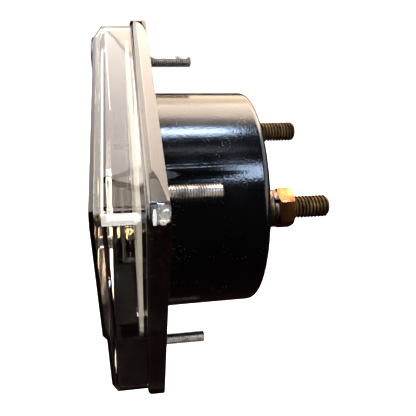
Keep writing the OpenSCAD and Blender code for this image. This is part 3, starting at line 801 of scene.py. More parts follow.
class Finishes:
    """The materials of the meter, each built once and kept by its record slot."""

    def __init__(self) -> None:
        """Builds every material."""
        clean = {"film_from": 0.6, "film_to": 0.8}
        recipes: dict[str, Recipe] = {
            # Clear and hard: bright lines along its edges, and the ledges of the tray behind it.
            "clear_acrylic": ClearMoulding(),
            # Matt, so that the tray stays dark where the cover's wall shows it.
            "black_moulding": BlackMoulding(
                "matt_black_tray", "#040404", roughness=0.5, dust=0.1, specular=0.2
            ),
            # Deep gloss with long bands of sparkle and a scatter of dust.
            "black_case": BlackMoulding("black_moulded_case"),
            "black_screw": BlackMoulding("black_moulded_screw", roughness=0.25, dust=0.2),
            # A soft dark sheen on the iron pieces behind the dial.
            "black_steel": Coating("blackened_steel", "#17171a", "#26262a", roughness=0.4),
            # Bright crests and grey hollows along the studs' threads.
            "zinc_steel": AgedMetal("zinc_plated_steel", "#dcd2c8", "#b4aca6", "#80746a"),
            # Brown and dull, the darkest of the brasses.
            "terminal_brass": AgedMetal(
                "tarnished_brass",
                "#8a6c48",
                "#665034",
                "#3c2e1e",
                film_from=0.35,
                film_to=0.62,
                shine=0.38,
                matt=0.6,
            ),
            # Paler than the terminal that it sits on.
            "washer_brass": AgedMetal("stamped_brass", "#ab8468", "#84664c", "#4c3a28"),
            "washer_steel": AgedMetal("spring_steel", "#9c8878", "#786a5c", "#4a4038"),
            # The warmest metal: orange flats with brown patches.
            "nut_brass": AgedMetal(
                "milled_brass", "#c88250", "#a86a3c", "#5c4026", film_to=0.7, shine=0.26, matt=0.45
            ),
            # Clean metals of the sealed movement, each told apart by its tone alone.
            "inner_brass": AgedMetal("pressed_brass", "#9c8a64", "#86744e", "#5e4f36", **clean),
            "inner_steel": AgedMetal("turned_steel", "#c4c6c8", "#a2a4a6", "#7c7e80", **clean),
            "soft_iron": AgedMetal(
                "annealed_iron",
                "#7c7e80",
                "#5f6164",
                "#474a4c",
                film_from=0.4,
                film_to=0.7,
                shine=0.35,
                matt=0.6,
            ),
            "spring_bronze": AgedMetal("bronze_strip", "#8e7852", "#75603e", "#54432c", **clean),
            "bare_aluminium": AgedMetal(
                "bare_aluminium", "#d8d9da", "#c0c2c4", "#a0a2a4", **clean
            ),
            # Near black, to stand out against the dial.
            "pointer_aluminium": Coating(
                "black_enamelled_aluminium", "#101012", "#1c1c1f", roughness=0.35
            ),
            "copper_winding": WoundWire(),
            "red_wire": Coating("red_wire_sleeve", "#a51c18", "#7f1411", roughness=0.4),
            "blue_wire": Coating("blue_wire_sleeve", "#20439c", "#17337c", roughness=0.4),
            # Warm white under flat black print.
            "dial": Coating(
                "white_enamelled_dial", "#e4e1d5", "#dcd8ca", roughness=0.45, grain_mm=0.8
            ),
            "ink": Coating(
                "black_screen_ink",
                "#121212",
                "#1a1a1a",
                roughness=0.6,
                grain_mm=0.3,
                depth_mm=0.004,
            ),
        }
        self.by_slot = {slot: recipe.build() for slot, recipe in recipes.items()}

    def dress(self, piece: bpy.types.Object, slot: str) -> None:
        """Gives a piece one material all over.

        Args:
            piece: The piece to dress.
            slot: The record's material slot.
        """
        piece.data.materials.clear()
        piece.data.materials.append(self.by_slot[slot])
        for face in piece.data.polygons:
            face.material_index = 0


@dataclass
class SubAssembly:
    """What every sub-assembly shares: how a finished piece joins the frame."""

    finishes: Finishes

    def build(self) -> None:
        """Makes the pieces and puts them on the meter."""
        raise NotImplementedError

    def place(self, piece: bpy.types.Object, body: str, slot: str, *nodes: str) -> None:
        """Dresses a piece, lets it ride on a body and hides the nodes that it stands for.

        Args:
            piece: The finished piece, at the origin.
            body: The body that it moves with.
            slot: The record's material slot.
            nodes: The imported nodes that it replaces.
        """
        self.finishes.dress(piece, slot)
        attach(piece, body)
        if nodes:
            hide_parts(*nodes)
        LOG.info("%s: %d faces", piece.name, len(piece.data.polygons))


def joint_point(name: str) -> Vector:
    """A point on the axis of one of the frame's joints."""
    joint = next(j for j in frame["joints"] if j["name"] == name)
    return Vector(joint["pos_m"])


def adjuster_axis() -> Vector:
    """A point on the zero adjuster's axis."""
    return joint_point("zero_adjust")


def pointer_axis() -> Vector:
    """A point on the pointer's axis."""
    return joint_point("pointer_swing")


def node_centre(node: str) -> Vector:
    """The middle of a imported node's box."""
    low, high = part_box(node)
    return (low + high) / 2


def stud_places() -> list[tuple[float, float]]:
    """Reads where the mounting studs stand from the record's mount.

    Returns:
        X and Z of the four studs.
    """
    mounts = frame["record"]["mounts"]
    dims = next(m["dims"] for m in mounts if m["name"] == "mounting_studs")
    x, z = dims["spacing_x_mm"] * MM / 2, dims["spacing_y_mm"] * MM / 2
    return [(side * x, level * z) for side in (-1, 1) for level in (-1, 1)]


# ----------------------------------------------------------------- the cover


@dataclass
class ClearCover(SubAssembly):
    """Clear front moulding: frame, raised body, bevelled window and set-back band."""

    frame_t: float = 4 * MM
    frame_corner: float = 3 * MM
    frame_edge: float = 1 * MM
    body_step: float = 1.2 * MM
    body_corner: float = 2.5 * MM
    bevel_y: float = -11 * MM
    window_y: float = -13.2 * MM
    band_y: float = -12.3 * MM
    band_top: float = -7.5 * MM
    wall: float = 1.6 * MM
    recess_t: float = 3 * MM
    recess_gap: float = 0.15 * MM
    back_edge: float = 0.3 * MM
    window_drop: float = 0.3 * MM
    swell_w: float = 10 * MM
    swell_h: float = 0.637 * MM
    swell_root: float = 0.4 * MM
    swell_narrowing: float = 2.08 * MM
    swell_corner: float = 2 * MM
    swell_steps: int = 5
    adjuster_hole_r: float = 2.05 * MM
    edge_soft: float = 0.22 * MM
    low: Vector = field(default_factory=lambda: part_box("front_cover")[0])
    high: Vector = field(default_factory=lambda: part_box("front_cover")[1])

    @property
    def half(self) -> Vector:
        """Half the frame's width and height."""
        return Vector((self.high.x, 0, self.high.z))

    def outline(
        self,
        name: str,
        inset: float,
        y0: float,
        y1: float,
        corner: float,
        floor: float | None = None,
    ) -> bpy.types.Object:
        """A rounded block inside the frame's outline.

        Args:
            name: Name of the new object.
            inset: Distance in from the frame's edge.
            y0: Front of the block.
            y1: Back of the block.
            corner: Radius of its corners.
            floor: Height at which its lower part is cut off, if it is.

        Returns:
            The block.
        """
        half = self.half - Vector((inset, 0, inset))
        piece = block(name, Vector((-half.x, y0, -half.z)), Vector((half.x, y1, half.z)), corner)
        if floor is not None:
            cut_level(piece, floor, below=True)
        return piece

    def lean_in(
        self,
        piece: bpy.types.Object,
        inset: float,
        y: float,
        y_front: float,
        floor: float | None = None,
        drop: float = 0,
    ) -> None:
        """Draws a block's front forward, leaning its sides in at 45 degrees.

        Args:
            piece: The block.
            inset: Its distance in from the frame's edge.
            y: Depth of its front.
            y_front: New depth.
            floor: Height of its lower edge if it was cut off, else that edge leans in as well.
            drop: How far a cut lower edge moves up on the way.
        """
        half = self.half - Vector((inset, 0, inset))
        reach = y - y_front
        if floor is None:
            floor, drop = -half.z, reach
        shrink = (half.z - reach - floor - drop) / (half.z - floor)
        centre_z = (floor + drop - shrink * floor) / (1 - shrink)
        scale = Vector(((half.x - reach) / half.x, 1, shrink))
        draw_out(piece, y, -reach, scale, Vector((0, y, centre_z)))

    def shell(self) -> bpy.types.Object:
        """Makes the outer form.

        Returns:
            The moulding as a full solid.
        """
        cover = self.outline("clear_cover", 0, -self.frame_t, 0, self.frame_corner)
        round_rim(cover, -self.frame_t, self.frame_edge, 5)
        round_rim(cover, 0, self.back_edge, 2)
        step, bevel_y, corner, floor = self.body_step, self.bevel_y, self.body_corner, self.band_top
        body = self.outline("body", step, bevel_y, -self.frame_t / 2, corner)
        self.lean_in(body, step, bevel_y, self.band_y)
        combine(cover, body, Joining.ADD)
        window = self.outline("window", step, bevel_y, -self.frame_t, corner, floor)
        self.lean_in(window, step, bevel_y, self.window_y, floor, self.window_drop)
        return combine(cover, window, Joining.ADD)

    def hollow(self) -> bpy.types.Object:
        """Makes the space inside.

        Returns:
            What the moulding's walls enclose, as a solid.
        """
        wall = self.wall
        inset, corner = self.body_step + wall, self.body_corner - wall
        lean_y, floor = self.bevel_y + wall / 2, self.band_top + wall
        space = self.outline("hollow", inset, lean_y, -self.recess_t + MM, corner)
        self.lean_in(space, inset, lean_y, self.band_y + wall)
        upper = self.outline("upper_hollow", inset, lean_y, -self.frame_t, corner, floor)
        self.lean_in(upper, inset, lean_y, self.window_y + wall, floor)
        return combine(space, upper, Joining.ADD)

    def swelling(self) -> bpy.types.Object:
        """Makes the swollen patch on the window's upper left corner.

        Returns:
            A low pad whose front closes in a quarter of a circle.
        """
        half = self.half - Vector((self.body_step, 0, self.body_step))
        lean = self.bevel_y - self.window_y
        left, top = -half.x + lean, half.z - lean
        low = Vector((left, self.window_y - 0.01 * MM, top - self.swell_w))
        high = Vector((left + self.swell_w, self.window_y + self.swell_root, top))
        pad = block("swelling", low, high, self.swell_corner, 8)
        centre = (low + high) / 2
        for step in range(self.swell_steps):
            angles = [math.pi / 2 * (step + extra) / self.swell_steps for extra in (0, 1)]
            rise = self.swell_h * (math.sin(angles[1]) - math.sin(angles[0]))
            spans = [self.swell_w - self.swell_narrowing * (1 - math.cos(a)) for a in angles]
            factor = spans[1] / spans[0]
            with editing(pad):
                front = min(v.co.y for v in bmesh.from_edit_mesh(pad.data).verts)
                pick(pad, Pick.FACES, at_depth(front))
                bpy.ops.mesh.extrude_region_move(TRANSFORM_OT_translate={"value": (0, -rise, 0)})
                bpy.ops.transform.resize(value=(factor, 1, factor), center_override=centre)
        return pad

    def build(self) -> None:
        """Makes the moulding and puts it on the meter."""
        cover = self.shell()
        combine(cover, self.swelling(), Joining.ADD)
        combine(cover, self.hollow(), Joining.CUT)
        plate_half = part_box("case")[1].x
        inset = self.half.x - plate_half - self.recess_gap
        recess = self.outline("recess", inset, -self.recess_t, MM, RearCase.plate_corner)
        combine(cover, recess, Joining.CUT)
        hole = bar("adjuster_hole", self.adjuster_hole_r, self.window_y - MM, self.bevel_y + MM)
        combine(cover, move(hole, z=adjuster_axis().z), Joining.CUT)
        soften(cover, self.edge_soft, 3)
        smooth(cover, 30)
        self.place(cover, BODY, "clear_acrylic", "front_cover")


@dataclass
class LowerMask(SubAssembly):
    """Black tray behind the band, with a ledge on each side of the pointer's hub."""

    wall: float = 0.8 * MM
    corner: float = 0.9 * MM
    lean: float = 0.55 * MM
    hole_r: float = 2.65 * MM
    hole_front: float = -15 * MM
    hole_back: float = -8 * MM
    ledge_from: float = 13 * MM
    ledge_to: float = 29.5 * MM
    ledge_back: float = -5.8 * MM

    def tray_block(
        self, name: str, low: Vector, high: Vector, corner: float, lean: float
    ) -> bpy.types.Object:
        """A block with a rounded outline below the band's top edge and a leaning front.

        Args:
            name: Name of the new object.
            low: Lowest corner.
            high: Highest corner, at the band's top edge.
            corner: Radius of the outline's corners.
            lean: How far the front steps in at 45 degrees.

        Returns:
            The block.
        """
        back = Vector((high.x, high.y, -low.z))
        piece = block(name, Vector((low.x, low.y + lean, low.z)), back, corner)
        factors = Vector(((high.x - lean) / high.x, 1, (back.z - lean) / back.z))
        draw_out(piece, low.y + lean, -lean, factors, Vector((0, low.y, 0)))
        cut_level(piece, high.z, below=False)
        return piece

    def build(self) -> None:
        """Makes the tray and puts it on the meter."""
        low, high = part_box("lower_mask")
        tray = self.tray_block("lower_tray", low, high, self.corner, self.lean)
        inner_low = low + Vector((self.wall, self.wall, self.wall))
        inner_high = Vector((high.x - self.wall, 0, high.z + MM))
        space = self.tray_block(
            "tray_space", inner_low, inner_high, self.corner - self.wall / 2, self.lean
        )
        combine(tray, space, Joining.CUT)
        hole = bar("tray_hole", self.hole_r, self.hole_front, self.hole_back)
        combine(tray, move(hole, z=adjuster_axis().z), Joining.CUT)
        for side in (-1, 1):
            ledge_low = Vector((self.ledge_from, low.y + self.wall / 2, high.z - self.wall))
            ledge_high = Vector((self.ledge_to, self.ledge_back, high.z))
            if side < 0:
                ledge_low.x, ledge_high.x = -ledge_high.x, -ledge_low.x
            combine(tray, block("ledge", ledge_low, ledge_high), Joining.ADD)
        soften(tray, 0.15 * MM, 2)
        smooth(tray)
        self.place(tray, BODY, "black_moulding", "lower_mask")


# ------------------------------------------------------------------ the case


@dataclass
class RearCase(SubAssembly):
    """Black moulding: base plate, drafted round case, rounded rear rim, seats and nib."""

    plate_t: float = 3 * MM
    plate_corner: float = 2 * MM
    barrel_r: float = 26 * MM
    draft: float = math.radians(0.5)
    wall: float = 2.3 * MM
    rear_wall: float = 2.5 * MM
    rim: float = 1.8 * MM
    core_r: float = 25 * MM
    seat_r: float = 5 * MM
    seat_h: float = 0.7 * MM
    seat_edge: float = 0.2 * MM
    seat_bore_r: float = 2.55 * MM
    nib_r: float = 0.7 * MM
    nib_l: float = 2 * MM
    nib_turn: float = math.radians(136)
    stud_head_hole_r: float = 2.8 * MM
    stud_head_hole_end: float = -1.8 * MM
    stud_hole_r: float = 1.95 * MM

    @property
    def length(self) -> float:
        """Length of the round case behind the panel."""
        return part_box("case")[1].y - self.seat_h

    def barrel(self) -> bpy.types.Object:
        """Turns the round case.

        Returns:
            The case without its plate, hollow from the front.
        """
        end = self.length
        rear_r = self.barrel_r - end * math.tan(self.draft)
        bore = rear_r - self.wall
        floor = end - self.rear_wall
        bend = arc(rear_r - self.rim, end - self.rim, self.rim, 90, 0, 10)
        outside = [(0, end), *bend, (self.barrel_r, 0), (self.barrel_r, -self.plate_t)]
        inside = [(bore, -self.plate_t), *arc(bore - MM, floor - MM, MM, 0, 90, 5), (0, floor)]
        return turn("rear_case", [*outside, *inside], 256)

    def build(self) -> None:
        """Makes the case and puts it on the meter."""
        low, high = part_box("case")
        case = self.barrel()
        plate_high = Vector((high.x, 0, high.z))
        plate_low = Vector((low.x, -self.plate_t, low.z))
        plate = block("plate", plate_low, plate_high, self.plate_corner)
        core = bar("core", self.core_r, -self.plate_t - 2 * MM, MM, 256)
        combine(plate, core, Joining.CUT)
        combine(case, plate, Joining.ADD)
        for node in ("terminal_left", "terminal_right"):
            self.add_seat(case, node_centre(node))
        self.bore_for_studs(case)
        self.add_nib(case)
        soften(case, 0.12 * MM, 2, 40)
        smooth(case)
        self.place(case, BODY, "black_case", "case")

    def add_seat(self, case: bpy.types.Object, centre: Vector) -> None:
        """Raises the round seat of a terminal on the rear wall.

        Args:
            case: The case.
            centre: A point on the terminal's axis.
        """
        end, edge, bore = self.length, self.seat_edge, self.seat_bore_r
        foot_r, foot_y = self.seat_r + 0.3 * MM, end - 2 * MM
        profile = [
            (bore, foot_y),
            (foot_r, foot_y),
            (foot_r, end),
            *arc(self.seat_r - edge, end + self.seat_h - edge, edge, 0, 90, 3),
            (bore, end + self.seat_h),
            (bore, foot_y),
        ]
        combine(case, move(turn("seat", profile, 64), centre.x, 0, centre.z), Joining.ADD)

    def add_nib(self, case: bpy.types.Object) -> None:
        """Adds the small moulded nib at the foot of the round case.

        Args:
            case: The case.
        """
        edge = 0.3 * MM
        tip = arc(self.nib_r - edge, self.nib_l - edge, edge, 0, 90, 3)
        nib = turn("nib", [(0, -MM), (self.nib_r, -MM), *tip, (0, self.nib_l)], 32)
        nib_x, nib_z = math.sin(self.nib_turn), math.cos(self.nib_turn)
        combine(case, move(nib, nib_x * self.barrel_r, 0, nib_z * self.barrel_r), Joining.ADD)

    def bore_for_studs(self, case: bpy.types.Object) -> None:
        """Cuts the four stepped holes that hold the mounting studs.

        Args:
            case: The case.
        """
        front = -self.plate_t - MM
        profile = [
            (0, front),
            (self.stud_head_hole_r, front),
            (self.stud_head_hole_r, self.stud_head_hole_end),
            (self.stud_hole_r, self.stud_head_hole_end),
            (self.stud_hole_r, MM),
            (0, MM),
        ]
        for x, z in stud_places():
            combine(case, move(turn("stud_hole", profile, 48), x, 0, z), Joining.CUT)


# ------------------------------------------------------------------ fasteners


@dataclass(frozen=True)
class Thread:
    """An ISO metric thread cut on a rod along Y."""

    radius: float
    pitch: float
    steps: int = 40
    depth_in_pitches: float = 0.6134

    @property
    def root(self) -> float:
        """Radius at the bottom of the thread."""
        return self.radius - self.depth_in_pitches * self.pitch

    def cut(self, name: str, y0: float, y1: float, end: Profile) -> bpy.types.Object:
        """Makes a threaded rod as a true helix trimmed to an end form.

        Args:
            name: Name of the new object.
            y0: Where the thread begins.
            y1: Where the rod ends.
            end: Profile of the tip, as radius and Y, ending on the axis.

        Returns:
            The rod on the Y axis.
        """
        p, root, crest = self.pitch, self.root, self.radius
        # One tooth: a flank up, a flat crest an eighth of the pitch wide, a flank down, a flat root.
        tooth = [(root, 0), (crest, 5 * p / 16), (crest, 7 * p / 16), (root, 12 * p / 16), (root, p)]
        spare_turns = 4
        turns = math.ceil((y1 - y0) / p) + spare_turns
        rod = chain(name, [(r, y0 - 2 * p + y) for r, y in tooth])
        helix = rod.modifiers.new("helix", "SCREW")
        helix.axis = "Y"
        helix.screw_offset = p
        helix.iterations = turns
        helix.steps = helix.render_steps = self.steps
        helix.use_merge_vertices = True
        helix.merge_threshold = MERGE
        make_active(rod)
        bpy.ops.object.modifier_apply(modifier=helix.name)
        with editing(rod):
            bpy.ops.mesh.select_all(action="SELECT")
            bpy.ops.mesh.remove_doubles(threshold=MERGE)
            low = y0 - 0.5 * p
            for test in (lambda e: middle(e).y < low, lambda e: middle(e).y > low):
                pick(rod, Pick.EDGES, lambda e, test=test: e.is_boundary and test(e))
                bpy.ops.mesh.extrude_edges_move()
                bpy.ops.mesh.merge(type="CENTER")
            bpy.ops.mesh.select_all(action="SELECT")
            bpy.ops.mesh.normals_make_consistent(inside=False)
        start = [(0, y0), (root, y0), (crest * NEAR_OUTSIDE, y0 + 0.3 * p)]
        envelope = turn("envelope", [*start, *end], 64)
        return combine(rod, envelope, Joining.KEEP_COMMON)


@dataclass
class MountingStuds(SubAssembly):
    """Four zinc-plated M3 studs with heads under the base plate."""

    thread: Thread = Thread(1.5 * MM, 0.5 * MM, 32)
    head_r: float = 2.75 * MM
    head_t: float = 1.2 * MM
    head_edge: float = 0.2 * MM
    collar_r: float = 1.9 * MM
    tip: float = 0.4 * MM
    tip_dome: float = 0.03 * MM

    def build(self) -> None:
        """Makes one stud and copies it to its four places."""
        y1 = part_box("mounting_studs")[1].y
        r = self.thread.radius
        end = [
            (r * NEAR_OUTSIDE, y1 - self.tip),
            (r - self.tip, y1 - self.tip_dome),
            (r - self.tip * 1.2, y1),
            (0, y1),
        ]
        stud = self.thread.cut("stud", 0, y1, end)
        front = -RearCase.plate_t
        shoulder = front + self.head_t
        profile = [
            (0, front),
            (self.head_r - self.head_edge, front),
            (self.head_r, front + self.head_edge),
            (self.head_r, shoulder),
            (self.collar_r, shoulder),
            (self.collar_r, 0),
            (0, 0),
        ]
        stud = gather("stud", [stud, turn("stud_head", profile, 48)])
        places = stud_places()
        studs = [move(duplicate(stud, f"stud_{i}"), x, 0, z) for i, (x, z) in enumerate(places)]
        bpy.data.objects.remove(stud, do_unlink=True)
        whole = gather("threaded_studs", studs)
        smooth(whole, 40)
        self.place(whole, BODY, "zinc_steel", "mounting_studs")


@dataclass
class Terminals(SubAssembly):
    """Two M5 brass terminals, and the washers and nut on the right one."""

    thread: Thread = Thread(2.5 * MM, 0.8 * MM, 48)
    neck_r: float = 2.25 * MM
    head_af: float = 8 * MM
    head_t: float = 1.5 * MM
    seat_y: float = 23.5 * MM
    overlap: float = 0.1 * MM
    tip: float = 0.8 * MM
    washer_bore_r: float = 2.65 * MM
    washer_edge: float = 0.18 * MM
    split_bore_r: float = 2.6 * MM
    split_rise: float = 0.2 * MM
    split_gap: float = 11.0
    split_turn: float = 60.0
    nut_flare: float = 0.35 * MM

    def hexagon(self, name: str, af: float, y0: float, y1: float) -> bpy.types.Object:
        """A hexagonal prism with its corners on the X axis.

        Args:
            name: Name of the new object.
            af: Width across its flats.
            y0: Its front end.
            y1: Its back end.

        Returns:
            The prism.
        """
        deselect_all()
        bpy.ops.mesh.primitive_cylinder_add(
            vertices=6,
            radius=af / 2 / math.cos(math.pi / 6),
            depth=y1 - y0,
            location=(0, (y0 + y1) / 2, 0),
            rotation=(math.pi / 2, 0, 0),
        )
        piece = newest(name)
        on_axis = any(abs(v.co.z) < TOUCHING for v in piece.data.vertices)
        return piece if on_axis else turn_about(piece, 30, ORIGIN)

    def stud(self, node: str, name: str) -> None:
        """Makes one threaded terminal with its inner hexagonal head.

        Args:
            node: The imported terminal.
            name: Name of the finished piece.
        """
        low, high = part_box(node)
        centre = node_centre(node)
        r, y1 = self.thread.radius, high.y
        # The rounded tip, from outside the crests to the axis.
        dome = [
            (r * NEAR_OUTSIDE, y1 - self.tip * 1.15),
            (r - 0.35 * MM, y1 - self.tip * 0.75),
            (r - 0.6 * MM, y1 - self.tip * 0.38),
            (r - 1.1 * MM, y1 - self.tip * 0.1),
            (0, y1),
        ]
        rod = self.thread.cut(name, self.seat_y, y1, dome)
        neck = bar("neck", self.neck_r, low.y + self.overlap, self.seat_y + self.overlap)
        head = self.hexagon("head", self.head_af, low.y, low.y + self.head_t)
        soften(head, 0.12 * MM, 2)
        whole = move(gather(name, [rod, neck, head]), centre.x, 0, centre.z)
        smooth(whole, 40)
        self.place(whole, BODY, "terminal_brass", node)

    def washer(self) -> None:
        """Makes the plain washer with stamped, rounded edges."""
        low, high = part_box("terminal_washer")
        centre, r = node_centre("terminal_washer"), (high.x - low.x) / 2
        bore, e = self.washer_bore_r, self.washer_edge
        profile = [
            (bore, low.y + e),
            (bore + e, low.y),
            *arc(r - e, low.y + e, e, -90, 0, 3),
            *arc(r - e * 1.5, high.y - e * 1.5, e * 1.5, 0, 90, 3),
            (bore + e, high.y),
            (bore, high.y - e),
            (bore, low.y + e),
        ]
        ring = move(turn("plain_washer", profile, 72), centre.x, 0, centre.z)
        smooth(ring)
        self.place(ring, BODY, "washer_brass", "terminal_washer")

    def spring_washer(self) -> None:
        """Makes the split washer as a square section wound in a slight helix."""
        low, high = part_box("spring_washer")
        centre, r = node_centre("spring_washer"), (high.x - low.x) / 2
        wound = 360 - self.split_gap
        sliver = 0.01 * MM
        section_low = Vector((self.split_bore_r, low.y, -sliver))
        section_high = Vector((r, high.y - self.split_rise, 0))
        ring = block("split_washer", section_low, section_high)
        with editing(ring):
            pick(ring, Pick.FACES, lambda f: abs(f.normal.z) < 0.5 or f.normal.z < 0)
            bpy.ops.mesh.delete(type="ONLY_FACE")
            pick(ring, Pick.VERTS, lambda v: v.co.z < -TOUCHING)
            bpy.ops.mesh.delete(type="VERT")
        coil = ring.modifiers.new("coil", "SCREW")
        coil.axis = "Y"
        coil.angle = math.radians(wound)
        coil.screw_offset = self.split_rise * wound / 360
        coil.steps = coil.render_steps = 64
        make_active(ring)
        bpy.ops.object.modifier_apply(modifier=coil.name)
        with editing(ring):
            pick(ring, Pick.EDGES, lambda e: e.is_boundary)
            bpy.ops.mesh.edge_face_add()
            close_seams()
        turn_about(ring, self.split_turn, ORIGIN)
        move(ring, centre.x, 0, centre.z)
        soften(ring, 0.1 * MM, 2, 50)
        smooth(ring, 40)
        self.place(ring, BODY, "washer_steel", "spring_washer")

    def nut(self) -> None:
        """Makes the hexagonal nut with both ends chamfered and a countersunk thread."""
        low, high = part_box("terminal_nut")
        centre, corner = node_centre("terminal_nut"), (high.x - low.x) / 2
        af = corner * 2 * math.cos(math.pi / 6)
        chamfer = corner - af / 2
        nut = self.hexagon("hex_nut", af, low.y, high.y)
        face_r, outer_r, fall = corner - 1.2 * chamfer, corner * 1.001, 0.72 * chamfer
        chamfers = [
            (0, low.y),
            (face_r, low.y),
            (outer_r, low.y + fall),
            (outer_r, high.y - fall),
            (face_r, high.y),
            (0, high.y),
        ]
        combine(nut, turn("nut_envelope", chamfers, 96), Joining.KEEP_COMMON)
        bore_r, flare = self.thread.radius, self.nut_flare
        countersunk = [
            (0, low.y - MM),
            (bore_r + flare + MM, low.y - MM),
            (bore_r + flare, low.y),
            (bore_r, low.y + flare),
            (bore_r, high.y - flare),
            (bore_r + flare, high.y),
            (bore_r + flare + MM, high.y + MM),
            (0, high.y + MM),
        ]
        combine(nut, turn("nut_bore", countersunk, 64), Joining.CUT)
        soften(nut, 0.08 * MM, 2, 25)
        smooth(nut, 25)
        move(nut, centre.x, 0, centre.z)
        self.place(nut, BODY, "nut_brass", "terminal_nut")

    def build(self) -> None:
        """Makes the terminals and their hardware."""
        self.stud("terminal_left", "threaded_terminal_left")
        self.stud("terminal_right", "threaded_terminal_right")
        self.washer()
        self.spring_washer()
        self.nut()


# ----------------------------------------------------------- dial and movement


@dataclass
class DialPrint(SubAssembly):
    """Printed scale on the dial plate: an arc, its ticks and plain numbers."""

    swing: float = 90
    arc_r: float = 24 * MM
    arc_w: float = 0.35 * MM
    arc_steps: int = 72
    major_l: float = 3.2 * MM
    major_w: float = 0.45 * MM
    mid_l: float = 2.2 * MM
    mid_w: float = 0.28 * MM
    minor_l: float = 1.5 * MM
    minor_w: float = 0.22 * MM
    ink_t: float = 0.03 * MM
    number_size: float = 4.185 * MM
    number_gap: float = 3 * MM
    divisions: int = 50
    numbers: tuple[str, ...] = ("0", "20", "40", "60", "80", "100")

    @property
    def ink_y(self) -> float:
        """Front face of the ink."""
        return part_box("dial_plate")[0].y - self.ink_t

    def tick(self, degrees: float, r0: float, r1: float, width: float) -> bpy.types.Object:
        """A radial tick at an angle from the upright.

        Args:
            degrees: Angle, clockwise as seen from the front.
            r0: Inner radius.
            r1: Outer radius.
            width: Width of the tick.

        Returns:
            The tick.
        """
        pivot = pointer_axis()
        low = Vector((-width / 2, self.ink_y, pivot.z + r0))
        high = Vector((width / 2, self.ink_y + self.ink_t, pivot.z + r1))
        return turn_about(block("tick", low, high), degrees, pivot)

    def scale_arc(self) -> bpy.types.Object:
        """Spins the arc under the ticks about the pointer's axis.

        Returns:
            The arc.
        """
        half_w, half_swing = self.arc_w / 2, math.radians(self.swing / 2)
        first = self.tick(-self.swing / 2, self.arc_r - half_w, self.arc_r + half_w, 0.01 * MM)
        across = Vector((math.cos(half_swing), 0, math.sin(half_swing)))
        with editing(first):
            pick(first, Pick.FACES, lambda f: f.normal.dot(across) > 0.9)
            bpy.ops.mesh.spin(
                steps=self.arc_steps,
                angle=2 * half_swing,
                center=pointer_axis(),
                axis=FRONT_TO_BACK,
            )
            bpy.ops.mesh.select_all(action="SELECT")
            bpy.ops.mesh.normals_make_consistent(inside=False)
        return first

    def number(self, text: str, degrees: float, radius: float) -> bpy.types.Object:
        """A plain number.

        Args:
            text: Its digits.
            degrees: Angle from the upright, clockwise as seen from the front.
            radius: Distance of its middle from the pointer's axis.

        Returns:
            The number.
        """
        pivot = pointer_axis()
        deselect_all()
        bpy.ops.object.text_add(rotation=(math.pi / 2, 0, 0))
        words = bpy.context.active_object
        words.data.body = text
        words.data.align_x = "CENTER"
        words.data.align_y = "CENTER"
        words.data.size = self.number_size
        words.data.extrude = self.ink_t / 2
        words.data.resolution_u = 6
        bpy.ops.object.convert(target="MESH")
        number = newest("number")
        with editing(number):
            bpy.ops.mesh.select_all(action="SELECT")
            bpy.ops.mesh.remove_doubles(threshold=MERGE)
        turn_angle = math.radians(degrees)
        place = pivot + Vector((math.sin(turn_angle), 0, math.cos(turn_angle))) * radius
        return move(number, place.x, self.ink_y + self.ink_t / 2, place.z)

    def build(self) -> None:
        """Prints the scale."""
        start = -self.swing / 2
        marks = [self.scale_arc()]
        for i in range(self.divisions + 1):
            length, width = self.minor_l, self.minor_w
            if i % 5 == 0:
                length, width = self.mid_l, self.mid_w
            if i % 10 == 0:
                length, width = self.major_l, self.major_w
            degrees = start + self.swing * i / self.divisions
            marks.append(self.tick(degrees, self.arc_r, self.arc_r + length, width))
        radius = self.arc_r + self.major_l + self.number_gap
        for i, text in enumerate(self.numbers):
            degrees = start + self.swing * i / (len(self.numbers) - 1)
            marks.append(self.number(text, degrees, radius))
        whole = gather("dial_print", marks)
        self.finishes.dress(whole, "ink")
        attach(whole, BODY)
        LOG.info("%s: %d faces", whole.name, len(whole.data.polygons))


@dataclass
class ZeroAdjuster(SubAssembly):
    """Slotted black screw in the lower band."""

    head_r: float = 3.5 * MM
    head_t: float = 0.6 * MM
    head_edge: float = 0.3 * MM
    shank_r: float = 2 * MM
    length: float = 3.3 * MM
    slot_w: float = 0.9 * MM
    slot_d: float = 0.4 * MM
    pin_r: float = 0.45 * MM
    pin_offset: float = 1.2 * MM

    def build(self) -> None:
        """Makes the screw and lets it turn with its joint."""
        low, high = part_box("zero_adjuster")
        axis = adjuster_axis()
        front, edge = low.y, self.head_edge
        shank_end = front + self.length
        profile = [
            (0, front),
            *arc(self.head_r - edge, front + edge, edge, -90, 0, 4),
            (self.head_r, front + self.head_t),
            (self.shank_r, front + self.head_t),
            (self.shank_r, shank_end),
            (0, shank_end),
        ]
        screw = turn("slotted_adjuster", profile, 64)
        slot = block(
            "slot",
            Vector((-2 * self.head_r, front - MM, -self.slot_w / 2)),
            Vector((2 * self.head_r, front + self.slot_d, self.slot_w / 2)),
        )
        combine(screw, slot, Joining.CUT)
        soften(screw, 0.06 * MM, 2, 40)
        pin = move(bar("pin", self.pin_r, shank_end - MM, high.y, 32), z=-self.pin_offset)
        whole = move(gather("slotted_adjuster", [screw, pin]), axis.x, 0, axis.z)
        smooth(whole)
        self.place(whole, "adjuster", "black_screw", "zero_adjuster")


def record_slots() -> dict[str, str]:
    """Each node's material slot, from the record's subparts."""
    return {part["node"]: part["material_slot"] for part in frame["record"]["subparts"]}


@dataclass
class Movement(SubAssembly):
    """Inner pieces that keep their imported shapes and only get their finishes."""

    slots: Mapping[str, str] = field(default_factory=record_slots)

    def build(self) -> None:
        """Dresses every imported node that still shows."""
        for name, node in frame["nodes"].items():
            slot = self.slots.get(name, "inner_steel")
            self.finishes.dress(node, slot)
            LOG.info("%s: %s", name, slot)


# --------------------------------------------------------------------- studio


